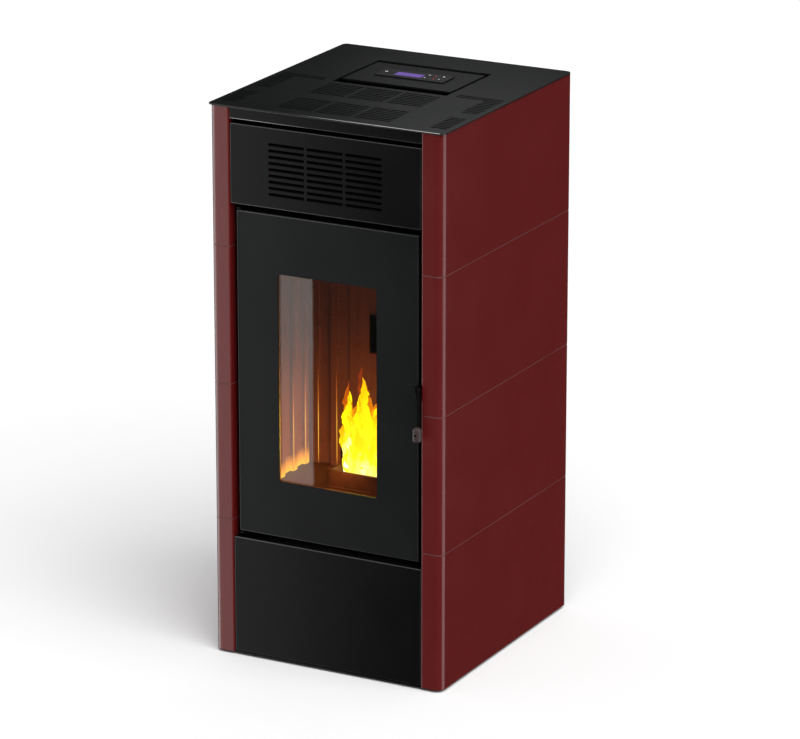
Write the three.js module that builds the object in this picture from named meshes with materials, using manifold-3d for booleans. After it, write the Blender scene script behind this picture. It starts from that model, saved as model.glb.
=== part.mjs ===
// A free-standing pellet stove: folded casings round a steel firebox, a glazed door, a pellet hopper
// with its auger, two fans and the controls.
// Millimetres. X runs to the right, Y to the rear, Z up. The feet stand on Z = 0.

import * as THREE from 'three';
import { mergeVertices } from 'three/addons/utils/BufferGeometryUtils.js';
import Module from 'manifold-3d';

const wasm = await Module();
wasm.setup();

// ---------------------------------------------------------------- sizes

const gap = 0.3; // between pieces that touch
const sheet = 2; // folded panels
const bite = 1; // how far a joined solid runs into its neighbour, and a cutter past a face

// Flats round a circle, by how large the circle is, and the flats of a half turn in an outline.
const sides = {
  tiny: 8, small: 12, medium: 16, disc: 20, drum: 24, airPipe: 28, large: 32, halfTurn: 8,
};

const body = { width: 468, depth: 505, height: 1030, lift: 5 };

const casing = { tiers: 4, seam: 2, radius: 16, frontFlange: 41, frontReturn: 22, rearReturn: 15 };

const topPlate = { overhang: 2, thickness: 3, radius: 18 };

const slots = {
  width: 72, pitchX: 77.5, height: 5.2, pitch: 10.4, rows: 8, frontRow: 32,
  beforeOpening: 93,
};

const sideSlots = { edge: 10, length: 34, longLength: 92, longRows: 2, rearRows: 11 };

const lidOpening = { width: 233, inset: 3.4, depth: 179 };

const lid = { width: 220, depth: 136, frontGap: 28, skirtSetBack: 10, skirtInset: 4, skirtDepth: 21 };

const lidHinge = {
  setBack: 5, drop: 8.3, pinRadius: 3.5, earWidth: 5, earAt: 94, earWall: 2.5,
  bracketWidth: 160,
};

const lidHingeLeaf = { foot: 6, overPin: 3.5, pinPast: 3, knuckleFront: 1 };

const controls = {
  width: 140, depth: 48, rise: 2.5, tubWidth: 130, tubDepth: 38, tubInset: 5,
  tubDrop: 20, setBack: 46,
};

const display = { width: 54, depth: 22, left: -37, inset: 1.6, below: 0.2 };

const key = { radius: 4.2, proud: 0.8, travel: 0.8, body: 3.2, pocket: 4 };

const keyPlaces = [
  { name: 'key_power', x: -57, y: 24 },
  { name: 'key_menu', x: 26, y: 35 },
  { name: 'key_confirm', x: 55, y: 35 },
  { name: 'key_down', x: 26, y: 14 },
  { name: 'key_up', x: 55, y: 14 },
];

const crossbar = { drop: 20.5, depth: 12, setBack: 2 };

const grille = { top: 28.5, bottom: 176, slotTop: 56, slotHeight: 5.6, rows: 9, pitch: 11.4 };

const frontPanel = { sideGap: 1.3, setBack: 1.5, sheet: 2 };

const door = { sideGap: 9.5, top: 188.5, bottom: 794, recess: 7, depth: 24, sheet: 3, lip: 15 };

const doorWindow = { width: 200, top: 297, bottom: 687 };

const glass = { lap: 8, thickness: 4, side: 1 };

const retainer = { outerLap: 15, innerLap: 3, thickness: 6, cleat: 30 };

const seal = { width: 8, inset: 4 };

const hingePin = {
  radius: 4, length: 24, inset: 5.5, plate: 3, plateGap: 2, plateWall: 3,
  bossSize: 14, bossHeight: 34,
};

const handle = {
  pivotDrop: 467, length: 98, barWidth: 5, eyeRadius: 4.8, neck: 3.4,
  pinRadius: 2.5, stand: 5.2,
};

const handleLug = { reach: 5.7, radius: 5, root: 8, tail: 12, clearance: 0.4 };

const handlePinHead = { radius: 4.4, thickness: 2.5, clearance: 1.4 };

const handleBoss = {
  radius: 8, height: 27, forward: 9, socket: 2.5, socketDepth: 6, crank: 10,
  shoulder: 4,
};

// The rounded ends of the lever's boss, as shares of its radius.
const bossEnds = {
  lowFace: 0.65, lowEdge: 0.9, lowRise: 0.18, lowFull: 0.5, highFull: 0.7, highEdge: 0.8,
  highDrop: 0.25, highFace: 0.45,
};

const latch = { drop: 13, thickness: 2.6, height: 8, reach: 23 };

const doorCatch = {
  clearance: 2.7, plate: 3, flange: 14, below: 6, height: 28, past: 10,
  rollerRadius: 3.5, rollerInset: 4, pinPast: 0.4,
};

const frame = { thickness: 3, setBack: 37.8, mouthInset: 28.5, ventInset: 14, lowVentMargin: 28 };

const lowerPanel = { top: 805 };

const firebox = { sideInset: 18.5, depth: 191, belowDoor: 9, topInset: 46.5, wall: 4 };

const leg = { inset: 15, thickness: 3, margin: 12 };

const liner = { plate: 5, rib: 7, ribWidth: 16, sidePitch: 45, backPitch: 40, topInset: 30 };

const ledge = {
  rise: 84, thickness: 6, apron: 20, apronWall: 4, bearer: 10, bearerWall: 3,
  front: 1.5, clearance: 1,
};

const pot = { width: 104, depth: 87, wall: 4, rim: 33, below: 34, front: 64, collar: 5, collarHeight: 3 };

const potHoles = { radius: 3, columns: 4, rows: 3, pitch: 20, igniterRadius: 6.5 };

const ashPan = {
  height: 38, wall: 2, margin: 12, frontMargin: 5, gripHalf: 30, grip: 4,
  gripDrop: 7, gripWall: 3,
};

const baffle = { thickness: 12, depth: 130 };

const igniter = { radius: 5, below: 16, tail: 30, collarRadius: 12, collarLength: 6 };

const smokeDuct = {
  x: -60, width: 96, depth: 80, bottom: 90, aboveLedge: 69, wall: 3, throat: 30, outletZ: 140,
};

const smokeHole = { width: 80, rise: 9, height: 50, bars: 3 };

const hopper = {
  sideSpace: 41.7, front: 5.5, rearSpace: 27.1, shoulder: 235, throat: 367,
  wall: 2, deck: 21,
};

const hopperMouth = { width: 208, depth: 122, setBack: 7 };

const auger = {
  inset: 20, belowThroat: 48, tubeRadius: 30, wall: 3, coreRadius: 8,
  pitch: 45, stepsPerTurn: 11,
};

const augerFlight = { clearance: 2, sector: 24, startInset: 4, shaftRadius: 6 };

const collar = { behindFire: 95.4, size: 60, wall: 3 };

const chute = { size: 48, wall: 3, past: 4 };

const gearmotor = {
  size: 58, length: 76, bossRadius: 20, bossLength: 8, gears: 26, canInset: 5,
  socket: 4, rearSpace: 37.67,
};

const smokeFan = { radius: 80, depth: 60, wall: 3, inlet: 30, armMargin: 4 };

const smokeWheel = {
  radius: 62, disc: 3, front: 8, back: 4, bladeFrom: 9, bladeTo: 58, hub: 14,
  blades: 8, blade: 3,
};

const smokeMotor = { radius: 38, length: 48, shaft: 5, shaftIn: 12, socket: 14 };

const flue = { x: -155, z: 105, radius: 40, wall: 2, proud: 22.2 };

const airPipe = { x: 100, rise: 33, radius: 25, wall: 2, proud: 10 };

const airFan = {
  x: 40, behindFront: 101.4, z: 115, radius: 75, width: 90, wall: 3, inlet: 40, foot: 74,
  footInset: 8, footBite: 14,
};

const airWheel = {
  radius: 54, width: 70, blades: 16, blade: 2, bladeDepth: 10, lean: 0.5, ring: 3,
  hub: 14, hubLength: 21, shaft: 5,
};

const airMotor = { radius: 34, length: 44, shaftIn: 12, socket: 14 };

const foot = {
  radius: 16, pad: 4.4, chamfer: 1.5, slope: 3, stem: 5, height: 30, insetX: 30,
  insetY: 60, bossRadius: 11, bossHeight: 12,
};

const basePlate = { thickness: 3 };

const rearCover = {
  ventWidth: 90, ventHeight: 6, ventPitch: 16, ventRows: 6,
  ventX: 110, ventZ: 880,
};

const inlet = { fromSide: 64, z: 100, width: 30, height: 62, depth: 22, flange: 2, step: 1.6 };

const socket = {
  width: 21, height: 15, depth: 16, z: -13, pinWidth: 2, pinHeight: 5,
  pinLength: 11, spread: 6,
};

const rocker = {
  width: 13, height: 19, depth: 8, z: 14, tilt: 8, dish: 1.6, taper: 2, well: 12,
  clearance: 1, sink: 1,
};

const board = {
  width: 120, height: 160, fromRear: 162.5, z: 290, thickness: 2, stand: 12,
  post: 4, margin: 8,
};

// What stands on the control board: place along Y and Z from the board's corner, size and height.
const boardParts = {
  transformer: { y: 12, z: 104, width: 38, height: 34, tall: 30 },
  fanRelay: { y: 62, z: 110, width: 16, height: 28, tall: 15 },
  augerRelay: { y: 86, z: 110, width: 16, height: 28, tall: 15 },
  processor: { y: 14, z: 50, width: 24, height: 24, tall: 4 },
  heatSink: { y: 52, z: 44, width: 14, height: 40, tall: 6 },
  terminalStrip: { y: 10, z: 8, width: 100, height: 12, tall: 11 },
};

const capacitor = { y: 92, z: 60, radius: 9, tall: 24 };

// ---------------------------------------------------------------- places worked out from the sizes

const half = body.width / 2;
const frontY = -body.depth / 2;
const rearY = body.depth / 2;
const baseZ = body.lift;
const topZ = body.lift + body.height;
const plateZ = topZ + gap;
const plateTopZ = plateZ + topPlate.thickness;
const insideHalf = half - sheet - gap;
const flangeX = half - casing.frontFlange;
const panelFront = frontY + frontPanel.setBack;
const frameFront = frontY + frame.setBack;
const frameBack = frameFront + frame.thickness;
const floorZ = baseZ + basePlate.thickness;
const doorHalf = flangeX - door.sideGap;
const doorFront = frontY + door.recess;
const doorBack = doorFront + door.depth;
const doorTop = topZ - door.top;
const doorBottom = topZ - door.bottom;
const fireFront = frameBack + gap;
const fireBack = fireFront + firebox.depth;
const fireHalf = doorHalf - firebox.sideInset;
const fireBottom = doorBottom - firebox.belowDoor;
const fireTop = doorTop - firebox.topInset;
const chamberHalf = fireHalf - firebox.wall;
const chamberBack = fireBack - firebox.wall;
const linerTop = fireTop - liner.topInset;
const ledgeTop = fireBottom + ledge.rise;
const smokeHoleBottom = ledgeTop + smokeHole.rise;
const airPipeZ = fireBottom + airPipe.rise;
const rearPlateY = rearY - 2 * sheet - gap;
const hopperHalf = insideHalf - hopper.sideSpace;
const hopperFront = fireBack + hopper.front;
const hopperBack = rearPlateY - hopper.rearSpace;
const throatZ = topZ - hopper.throat;
const shoulderZ = topZ - hopper.shoulder;
const collarY = fireBack + collar.behindFire;
const plateFrontY = frontY - topPlate.overhang;
const openingFront = hopperFront + lidOpening.inset;
const lidFront = openingFront + lid.frontGap;
const lidBack = lidFront + lid.depth;
const deckZ = topZ - hopper.deck;
const pinY = lidBack + lidHinge.setBack;
const pinZ = plateTopZ - lidHinge.drop;

// ---------------------------------------------------------------- materials

const paints = {
  redPaint: { color: 0x6b2426, roughness: 0.35, metalness: 0.1 },
  blackPaint: { color: 0x2b2c2c, roughness: 0.45, metalness: 0.1 },
  blackSatin: { color: 0x1b1c1c, roughness: 0.4, metalness: 0.2 },
  castIron: { color: 0x3a3835, roughness: 0.7, metalness: 0.5 },
  zinc: { color: 0x9a9c9e, roughness: 0.4, metalness: 0.9 },
  stainless: { color: 0xb6b5b1, roughness: 0.3, metalness: 1 },
  aluminium: { color: 0xa9abac, roughness: 0.45, metalness: 0.9 },
  liner: { color: 0x8a7f6d, roughness: 0.9, metalness: 0 },
  rope: { color: 0x3c3c3a, roughness: 0.95, metalness: 0 },
  glass: { color: 0x1a1614, roughness: 0.05, metalness: 0 },
  plastic: { color: 0x151617, roughness: 0.4, metalness: 0 },
  keyCap: { color: 0x282829, roughness: 0.5, metalness: 0 },
  display: { color: 0x7b57c6, roughness: 0.15, metalness: 0 },
  circuit: { color: 0x1f5a33, roughness: 0.5, metalness: 0 },
};

function paint(name) {
  return new THREE.MeshStandardMaterial(paints[name]);
}

// ---------------------------------------------------------------- solids

function solidFrom(geometry) {
  geometry.deleteAttribute('normal');
  geometry.deleteAttribute('uv');
  const welded = mergeVertices(geometry, 0.0001);
  const vertProperties = new Float32Array(welded.attributes.position.array);
  const triVerts = new Uint32Array(welded.index.array);
  return new wasm.Manifold(new wasm.Mesh({ numProp: 3, vertProperties, triVerts }));
}

function box(x0, x1, y0, y1, z0, z1) {
  const geometry = new THREE.BoxGeometry(x1 - x0, y1 - y0, z1 - z0);
  geometry.translate((x0 + x1) / 2, (y0 + y1) / 2, (z0 + z1) / 2);
  return solidFrom(geometry);
}

// A round bar from one end to the other, or a cone frustum when the end radii differ.
function bar(from, to, radius, segments = sides.drum, endRadius = radius) {
  const start = new THREE.Vector3(...from);
  const end = new THREE.Vector3(...to);
  const geometry = new THREE.CylinderGeometry(endRadius, radius, start.distanceTo(end), segments);
  const direction = end.clone().sub(start).normalize();
  const turn = new THREE.Quaternion().setFromUnitVectors(new THREE.Vector3(0, 1, 0), direction);
  geometry.applyQuaternion(turn);
  const middle = start.add(end).multiplyScalar(0.5);
  geometry.translate(middle.x, middle.y, middle.z);
  return solidFrom(geometry);
}

// An outline pushed along one axis. The outline's two coordinates are, in order, the other two axes:
// X and Y for 'z', Y and Z for 'x', and X and Z for 'y'.
function prism(points, axis, from, to) {
  const outline = points.map(([u, v]) => new THREE.Vector2(u, v));
  const geometry = new THREE.ExtrudeGeometry(new THREE.Shape(outline), { depth: to - from,
    bevelEnabled: false });
  if (axis === 'x') {
    geometry.rotateX(Math.PI / 2);
    geometry.rotateZ(Math.PI / 2);
    geometry.translate(from, 0, 0);
  } else if (axis === 'y') {
    geometry.rotateX(Math.PI / 2);
    geometry.translate(0, to, 0);
  } else {
    geometry.translate(0, 0, from);
  }
  return solidFrom(geometry);
}

function joined(...solids) {
  return solids.reduce((whole, solid) => whole.add(solid));
}

function cut(solid, ...cutters) {
  return cutters.reduce((left, cutter) => left.subtract(cutter), solid);
}

function geometryFrom(solid) {
  const { vertProperties, triVerts } = solid.getMesh();
  const geometry = new THREE.BufferGeometry();
  geometry.setAttribute('position', new THREE.BufferAttribute(new Float32Array(vertProperties), 3));
  geometry.setIndex(new THREE.BufferAttribute(new Uint32Array(triVerts), 1));
  geometry.computeVertexNormals();
  return geometry;
}

const stove = new THREE.Group();

function piece(name, solid, paintName) {
  const mesh = new THREE.Mesh(geometryFrom(solid), paint(paintName));
  mesh.name = name;
  stove.add(mesh);
  return mesh;
}

function arc(x, y, radius, startDegrees, endDegrees, steps) {
  return Array.from({ length: steps + 1 }, (_, i) => {
    const angle = THREE.MathUtils.degToRad(startDegrees + (endDegrees - startDegrees) * i / steps);
    return [x + radius * Math.cos(angle), y + radius * Math.sin(angle)];
  });
}

// ---------------------------------------------------------------- casings

function casingOutline(side) {
  const bendX = half - casing.radius;
  const bendY = frontY + casing.radius;
  const outer = [
    [flangeX, frontY + casing.frontReturn],
    [flangeX, frontY],
    ...arc(bendX, bendY, casing.radius, -90, 0, 6),
    [half, rearY],
    [half - casing.rearReturn, rearY],
  ];
  const inner = [
    [half - casing.rearReturn, rearY - sheet],
    [half - sheet, rearY - sheet],
    ...arc(bendX, bendY, casing.radius - sheet, 0, -90, 6),
    [flangeX + sheet, frontY + sheet],
    [flangeX + sheet, frontY + casing.frontReturn],
  ];
  return [...outer, ...inner].map(([x, y]) => [side * x, y]);
}

function makeCasings() {
  const tierHeight = (body.height - (casing.tiers - 1) * casing.seam) / casing.tiers;
  const tierNames = ['bottom', 'lower', 'upper', 'top'];
  for (const [sideName, side] of [['left', -1], ['right', 1]]) {
    for (let tier = 0; tier < casing.tiers; tier += 1) {
      const z = baseZ + tier * (tierHeight + casing.seam);
      const solid = prism(casingOutline(side), 'z', z, z + tierHeight);
      piece(`${sideName}_casing_${tierNames[tier] ?? tier}`, solid, 'redPaint');
    }
  }
}

// ---------------------------------------------------------------- base and feet

function footPlaces() {
  const x = half - sheet - foot.insetX;
  const y = rearY - sheet - foot.insetY;
  return [
    ['front_left', -x, -y],
    ['front_right', x, -y],
    ['rear_left', -x, y],
    ['rear_right', x, y],
  ];
}

function makeBase() {
  const baseHalf = insideHalf;
  const baseFront = frontY + casing.frontReturn + gap;
  const baseRear = rearPlateY - gap;
  let base = box(-baseHalf, baseHalf, baseFront, baseRear, baseZ, floorZ);
  const frontTab = box(-flangeX + gap, flangeX - gap, panelFront, baseFront + bite, baseZ, floorZ);
  base = joined(base, frontTab);
  for (const [, x, y] of footPlaces()) {
    base = joined(base, bar([x, y, baseZ + bite], [x, y, floorZ + foot.bossHeight], foot.bossRadius, 6));
  }
  for (const [, x, y] of footPlaces()) {
    base = cut(base, bar([x, y, baseZ - bite], [x, y, floorZ + foot.bossHeight + bite],
      foot.stem + gap, sides.medium));
  }
  piece('base_plate', base, 'blackSatin');
}

function makeFeet() {
  for (const [name, x, y] of footPlaces()) {
    const profile = [
      [0, 0],
      [foot.radius - foot.chamfer, 0],
      [foot.radius, foot.chamfer],
      [foot.radius, foot.pad - foot.chamfer],
      [foot.radius - foot.slope, foot.pad],
      [foot.stem, foot.pad],
      [foot.stem, foot.height],
      [0, foot.height],
    ];
    const geometry = new THREE.LatheGeometry(profile.map(([r, z]) => new THREE.Vector2(r, z)), sides.medium);
    geometry.rotateX(Math.PI / 2);
    geometry.translate(x, y, 0);
    piece(`levelling_foot_${name}`, solidFrom(geometry), 'zinc');
  }
}

// ---------------------------------------------------------------- top plate

function roundedRectangle(x0, x1, y0, y1, radius, steps) {
  return [
    ...arc(x1 - radius, y0 + radius, radius, -90, 0, steps),
    ...arc(x1 - radius, y1 - radius, radius, 0, 90, steps),
    ...arc(x0 + radius, y1 - radius, radius, 90, 180, steps),
    ...arc(x0 + radius, y0 + radius, radius, 180, 270, steps),
  ];
}

// Every slot of the top plate as [x0, x1, y0, y1].
function topSlots() {
  const list = [];
  const frontStart = plateFrontY + slots.frontRow;
  const rearStart = openingFront - slots.beforeOpening;
  const addRow = (x0, x1, start, row) => {
    const y = start + row * slots.pitch;
    list.push([x0, x1, y, y + slots.height]);
  };
  for (const start of [frontStart, rearStart]) {
    for (let column = -1; column <= 1; column += 1) {
      const middle = column * slots.pitchX;
      for (let row = 0; row < slots.rows; row += 1) {
        addRow(middle - slots.width / 2, middle + slots.width / 2, start, row);
      }
    }
  }
  for (const side of [-1, 1]) {
    const outer = half + topPlate.overhang - sideSlots.edge;
    const addSideRow = (length, start, row) => {
      const ends = [side * (outer - length), side * outer].sort((a, b) => a - b);
      addRow(ends[0], ends[1], start, row);
    };
    for (let row = 0; row < slots.rows; row += 1) {
      addSideRow(sideSlots.length, frontStart, row);
    }
    for (let row = 0; row < sideSlots.rearRows; row += 1) {
      const isLong = row >= sideSlots.rearRows - sideSlots.longRows;
      addSideRow(isLong ? sideSlots.longLength : sideSlots.length, rearStart, row);
    }
  }
  return list;
}

function makeTopPlate() {
  const reach = half + topPlate.overhang;
  const rearEdge = rearY + topPlate.overhang;
  const outline = roundedRectangle(-reach, reach, plateFrontY, rearEdge, topPlate.radius, 6);
  let plate = prism(outline, 'z', plateZ, plateTopZ);
  for (const [x0, x1, y0, y1] of topSlots()) {
    plate = cut(plate, box(x0, x1, y0, y1, plateZ - bite, plateTopZ + bite));
  }
  const openingHalf = lidOpening.width / 2;
  const opening = box(-openingHalf, openingHalf, openingFront, openingFront + lidOpening.depth,
    plateZ - bite,
    plateTopZ + bite);
  piece('top_plate', cut(plate, opening), 'blackPaint');
}

// ---------------------------------------------------------------- front panels

function makeCrossbar() {
  const reach = flangeX - gap;
  const y = frontY + crossbar.setBack;
  piece('front_crossbar', box(-reach, reach, y, y + crossbar.depth, topZ - crossbar.drop, topZ),
    'blackSatin');
}

// A shallow tray, open to the rear, that reaches back to the front frame.
function frontTray(bottom, top) {
  const reach = flangeX - frontPanel.sideGap;
  const back = frameFront - gap;
  const wall = frontPanel.sheet;
  const shell = box(-reach, reach, panelFront, back, bottom, top);
  const hollow = box(-reach + wall, reach - wall, panelFront + wall, back + bite, bottom + wall,
    top - wall);
  return cut(shell, hollow);
}

function makeUpperGrille() {
  let panel = frontTray(topZ - grille.bottom, topZ - grille.top);
  for (let column = -1; column <= 1; column += 1) {
    const middle = column * slots.pitchX;
    for (let row = 0; row < grille.rows; row += 1) {
      const z = topZ - grille.slotTop - row * grille.pitch;
      const slot = box(
        middle - slots.width / 2,
        middle + slots.width / 2,
        panelFront - bite,
        panelFront + frontPanel.sheet + bite,
        z - grille.slotHeight,
        z,
      );
      panel = cut(panel, slot);
    }
  }
  piece('upper_grille', panel, 'blackSatin');
}

function makeLowerPanel() {
  piece('lower_front_panel', frontTray(floorZ + gap, topZ - lowerPanel.top), 'blackSatin');
}

// ---------------------------------------------------------------- front frame, hinges and catch

function makeFrontFrame() {
  const plate = box(-insideHalf, insideHalf, frameFront, frameBack, floorZ + gap, topZ - gap);
  const hole = (x0, x1, z0, z1) => box(x0, x1, frameFront - bite, frameBack + bite, z0, z1);
  const inset = frame.ventInset;
  const ventHalf = flangeX - frontPanel.sideGap - inset;
  const mouthHalf = doorHalf - frame.mouthInset;
  const mouth = hole(-mouthHalf, mouthHalf, fireBottom + firebox.wall,
    fireTop - firebox.wall);
  const upperVent = hole(-ventHalf, ventHalf, topZ - grille.bottom + inset, topZ - grille.top - inset);
  const lowerVent = hole(-ventHalf, ventHalf, floorZ + frame.lowVentMargin,
    fireBottom - frame.lowVentMargin);
  piece('front_frame', cut(plate, mouth, upperVent, lowerVent), 'blackSatin');
}

const doorAxis = { x: -doorHalf + hingePin.inset, y: doorFront + hingePin.inset };

function makeDoorHinge(name, plateBottom, pinFrom, pinTo) {
  const { x, y } = doorAxis;
  const reach = hingePin.radius + hingePin.plateWall;
  const outline = [
    [x + reach, frameFront - gap],
    [x - reach, frameFront - gap],
    ...arc(x, y, reach, 180, 360, sides.halfTurn).map(([u, v]) => [u, Math.max(v, frontY + sheet)]),
  ];
  const plate = prism(outline, 'z', plateBottom, plateBottom + hingePin.plate);
  const pin = bar([x, y, pinFrom], [x, y, pinTo], hingePin.radius, sides.medium);
  piece(name, joined(plate, pin), 'blackSatin');
}

function makeDoorHinges() {
  const upperPlate = doorTop + hingePin.plateGap;
  const lowerPlate = doorBottom - hingePin.plateGap - hingePin.plate;
  makeDoorHinge('upper_door_hinge', upperPlate, doorTop - hingePin.length, upperPlate + bite);
  makeDoorHinge('lower_door_hinge', lowerPlate, lowerPlate + bite, doorBottom + hingePin.length);
}

function makeDoorCatch() {
  const x0 = doorHalf + doorCatch.clearance;
  const x1 = x0 + doorCatch.plate;
  const top = topZ - handle.pivotDrop - doorCatch.below;
  const bottom = top - doorCatch.height;
  const back = frameFront - gap;
  const front = doorBack - doorCatch.past;
  const arm = box(x0, x1, front, back, bottom, top);
  const flange = box(x0, x0 + doorCatch.flange, back - doorCatch.plate, back, bottom, top);
  const rollerY = front + doorCatch.rollerInset;
  const rollerZ = bottom + doorCatch.height / 3;
  const rollerFrom = [doorHalf + gap, rollerY, rollerZ];
  const roller = bar(rollerFrom, [x1 + doorCatch.pinPast, rollerY, rollerZ], doorCatch.rollerRadius,
    sides.small);
  piece('door_catch', joined(arm, flange, roller), 'zinc');
}

// ---------------------------------------------------------------- fire door

const windowHalf = doorWindow.width / 2;
const windowTop = topZ - doorWindow.top;
const windowBottom = topZ - doorWindow.bottom;
const pivot = { y: frontY - handle.stand, z: topZ - handle.pivotDrop };

function makeDoorPanel() {
  const wall = door.sheet;
  const shell = box(-doorHalf, doorHalf, doorFront, doorBack, doorBottom, doorTop);
  const hollow = box(
    -doorHalf + wall,
    doorHalf - wall,
    doorFront + wall,
    doorBack - wall,
    doorBottom + wall,
    doorTop - wall,
  );
  const rearHole = box(
    -doorHalf + door.lip,
    doorHalf - door.lip,
    doorBack - wall - bite,
    doorBack + bite,
    doorBottom + door.lip,
    doorTop - door.lip,
  );
  const pane = box(-windowHalf, windowHalf, doorFront - bite, doorFront + wall + bite,
    windowBottom, windowTop);
  let panel = cut(shell, hollow, rearHole, pane);
  const size = hingePin.bossSize;
  const bossAt = (z0, z1) =>
    box(-doorHalf + bite, -doorHalf + size, doorFront + bite, doorFront + size, z0, z1);
  panel = joined(panel, bossAt(doorBottom + bite, doorBottom + hingePin.bossHeight));
  panel = joined(panel, bossAt(doorTop - hingePin.bossHeight, doorTop - bite));
  const bore = (z0, z1) =>
    bar([doorAxis.x, doorAxis.y, z0], [doorAxis.x, doorAxis.y, z1], hingePin.radius + gap, sides.medium);
  panel = cut(panel, bore(doorBottom - bite, doorBottom + hingePin.length + gap));
  panel = cut(panel, bore(doorTop - hingePin.length - gap, doorTop + bite));
  const lugBack = doorFront + handleLug.root;
  const lugLow = pivot.z - handleLug.radius - handleLug.tail;
  const lugOutline = [
    ...arc(pivot.y, pivot.z, handleLug.radius, 90, 270, sides.halfTurn),
    [doorFront, lugLow],
    [lugBack, lugLow],
    [lugBack, pivot.z + handleLug.radius],
  ];
  const lug = prism(lugOutline, 'x', doorHalf - bite, doorHalf + handleLug.reach);
  const lugHole = bar([doorHalf - 2 * bite, pivot.y, pivot.z], [doorHalf + 2 * handleLug.reach,
    pivot.y, pivot.z],
    handle.pinRadius + gap, sides.small);
  panel = cut(joined(panel, lug), lugHole);
  piece('door_panel', panel, 'blackPaint');
}

function frameRing(x, z0, z1, width, y0, y1) {
  const ring = box(-x, x, y0, y1, z0, z1);
  return cut(ring, box(-x + width, x - width, y0 - bite, y1 + bite, z0 + width, z1 - width));
}

function makeGlazing() {
  const glassFront = doorFront + door.sheet + gap;
  const glassBack = glassFront + glass.thickness;
  const glassHalf = windowHalf + glass.lap;
  const pane = box(-glassHalf, glassHalf, glassFront, glassBack, windowBottom - glass.lap,
    windowTop + glass.lap);
  piece('door_glass', pane, 'glass');
  const outer = windowHalf + retainer.outerLap;
  const ringWidth = retainer.outerLap - retainer.innerLap;
  const ring = frameRing(
    outer,
    windowBottom - retainer.outerLap,
    windowTop + retainer.outerLap,
    ringWidth,
    glassBack + gap,
    glassBack + gap + retainer.thickness,
  );
  // Cleats round the pane stand between the retainer and the door sheet.
  const cleatInner = glassHalf + glass.side;
  const cleat = (side, z) => box(
    side > 0 ? cleatInner : -outer,
    side > 0 ? outer : -cleatInner,
    glassFront,
    glassBack + gap + bite,
    z - retainer.cleat / 2,
    z + retainer.cleat / 2,
  );
  const middle = (windowBottom + windowTop) / 2;
  const reach = (windowTop - windowBottom) / 3;
  const cleats = [-1, 1].flatMap((side) => [-1, 0, 1].map((step) => cleat(side, middle + step * reach)));
  piece('glass_retainer', joined(ring, ...cleats), 'zinc');
}

function makeDoorSeal() {
  const ring = frameRing(
    doorHalf - seal.inset,
    doorBottom + seal.inset,
    doorTop - seal.inset,
    seal.width,
    doorBack + gap,
    frameFront - gap,
  );
  piece('door_seal', ring, 'rope');
}

function makeDoorHandle() {
  const x0 = doorHalf + handleLug.reach + handleLug.clearance;
  const x1 = x0 + handle.barWidth;
  const middle = (x0 + x1) / 2;
  const eye = handle.eyeRadius;
  const low = pivot.z + eye - handle.length;
  const bossTop = low + handleBoss.height;
  const bossY = pivot.y - handleBoss.forward;
  const { crank, shoulder } = handleBoss;
  const outline = [
    ...arc(pivot.y, pivot.z, eye, 0, 180, sides.halfTurn),
    [pivot.y - eye, bossTop + shoulder],
    [bossY, bossTop - shoulder],
    [bossY, bossTop - crank],
    [pivot.y, bossTop - crank],
    [pivot.y + handle.neck, bossTop],
    [pivot.y + handle.neck, pivot.z - 2 * shoulder],
  ];
  const lever = prism(outline, 'x', x0, x1);
  const { radius, height } = handleBoss;
  const bossProfile = [
    [0, 0],
    [radius * bossEnds.lowFace, 0],
    [radius * bossEnds.lowEdge, radius * bossEnds.lowRise],
    [radius, radius * bossEnds.lowFull],
    [radius, height - radius * bossEnds.highFull],
    [radius * bossEnds.highEdge, height - radius * bossEnds.highDrop],
    [radius * bossEnds.highFace, height],
    [0, height],
  ];
  const bossGeometry = new THREE.LatheGeometry(bossProfile.map(([r, z]) => new THREE.Vector2(r, z)),
    sides.disc);
  bossGeometry.rotateX(Math.PI / 2);
  bossGeometry.translate(middle, bossY, low);
  const socketZ = low + height / 2;
  const socketFrom = [middle, bossY - radius - bite, socketZ];
  const socketTo = [middle, bossY - radius + handleBoss.socketDepth, socketZ];
  const boss = cut(solidFrom(bossGeometry), bar(socketFrom, socketTo, handleBoss.socket, 10));
  const headRight = doorHalf - handlePinHead.clearance;
  const headLeft = headRight - handlePinHead.thickness;
  const pin = bar([headLeft + bite, pivot.y, pivot.z], [x0 + bite, pivot.y, pivot.z],
    handle.pinRadius, sides.small);
  const head = bar([headLeft, pivot.y, pivot.z], [headRight, pivot.y, pivot.z], handlePinHead.radius,
    sides.small);
  const noseZ = pivot.z - latch.drop;
  const nose = box(x0, x0 + latch.thickness, pivot.y, pivot.y + latch.reach, noseZ - latch.height, noseZ);
  piece('door_handle', joined(lever, boss, pin, head, nose), 'blackSatin');
}

// ---------------------------------------------------------------- firebox

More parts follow.
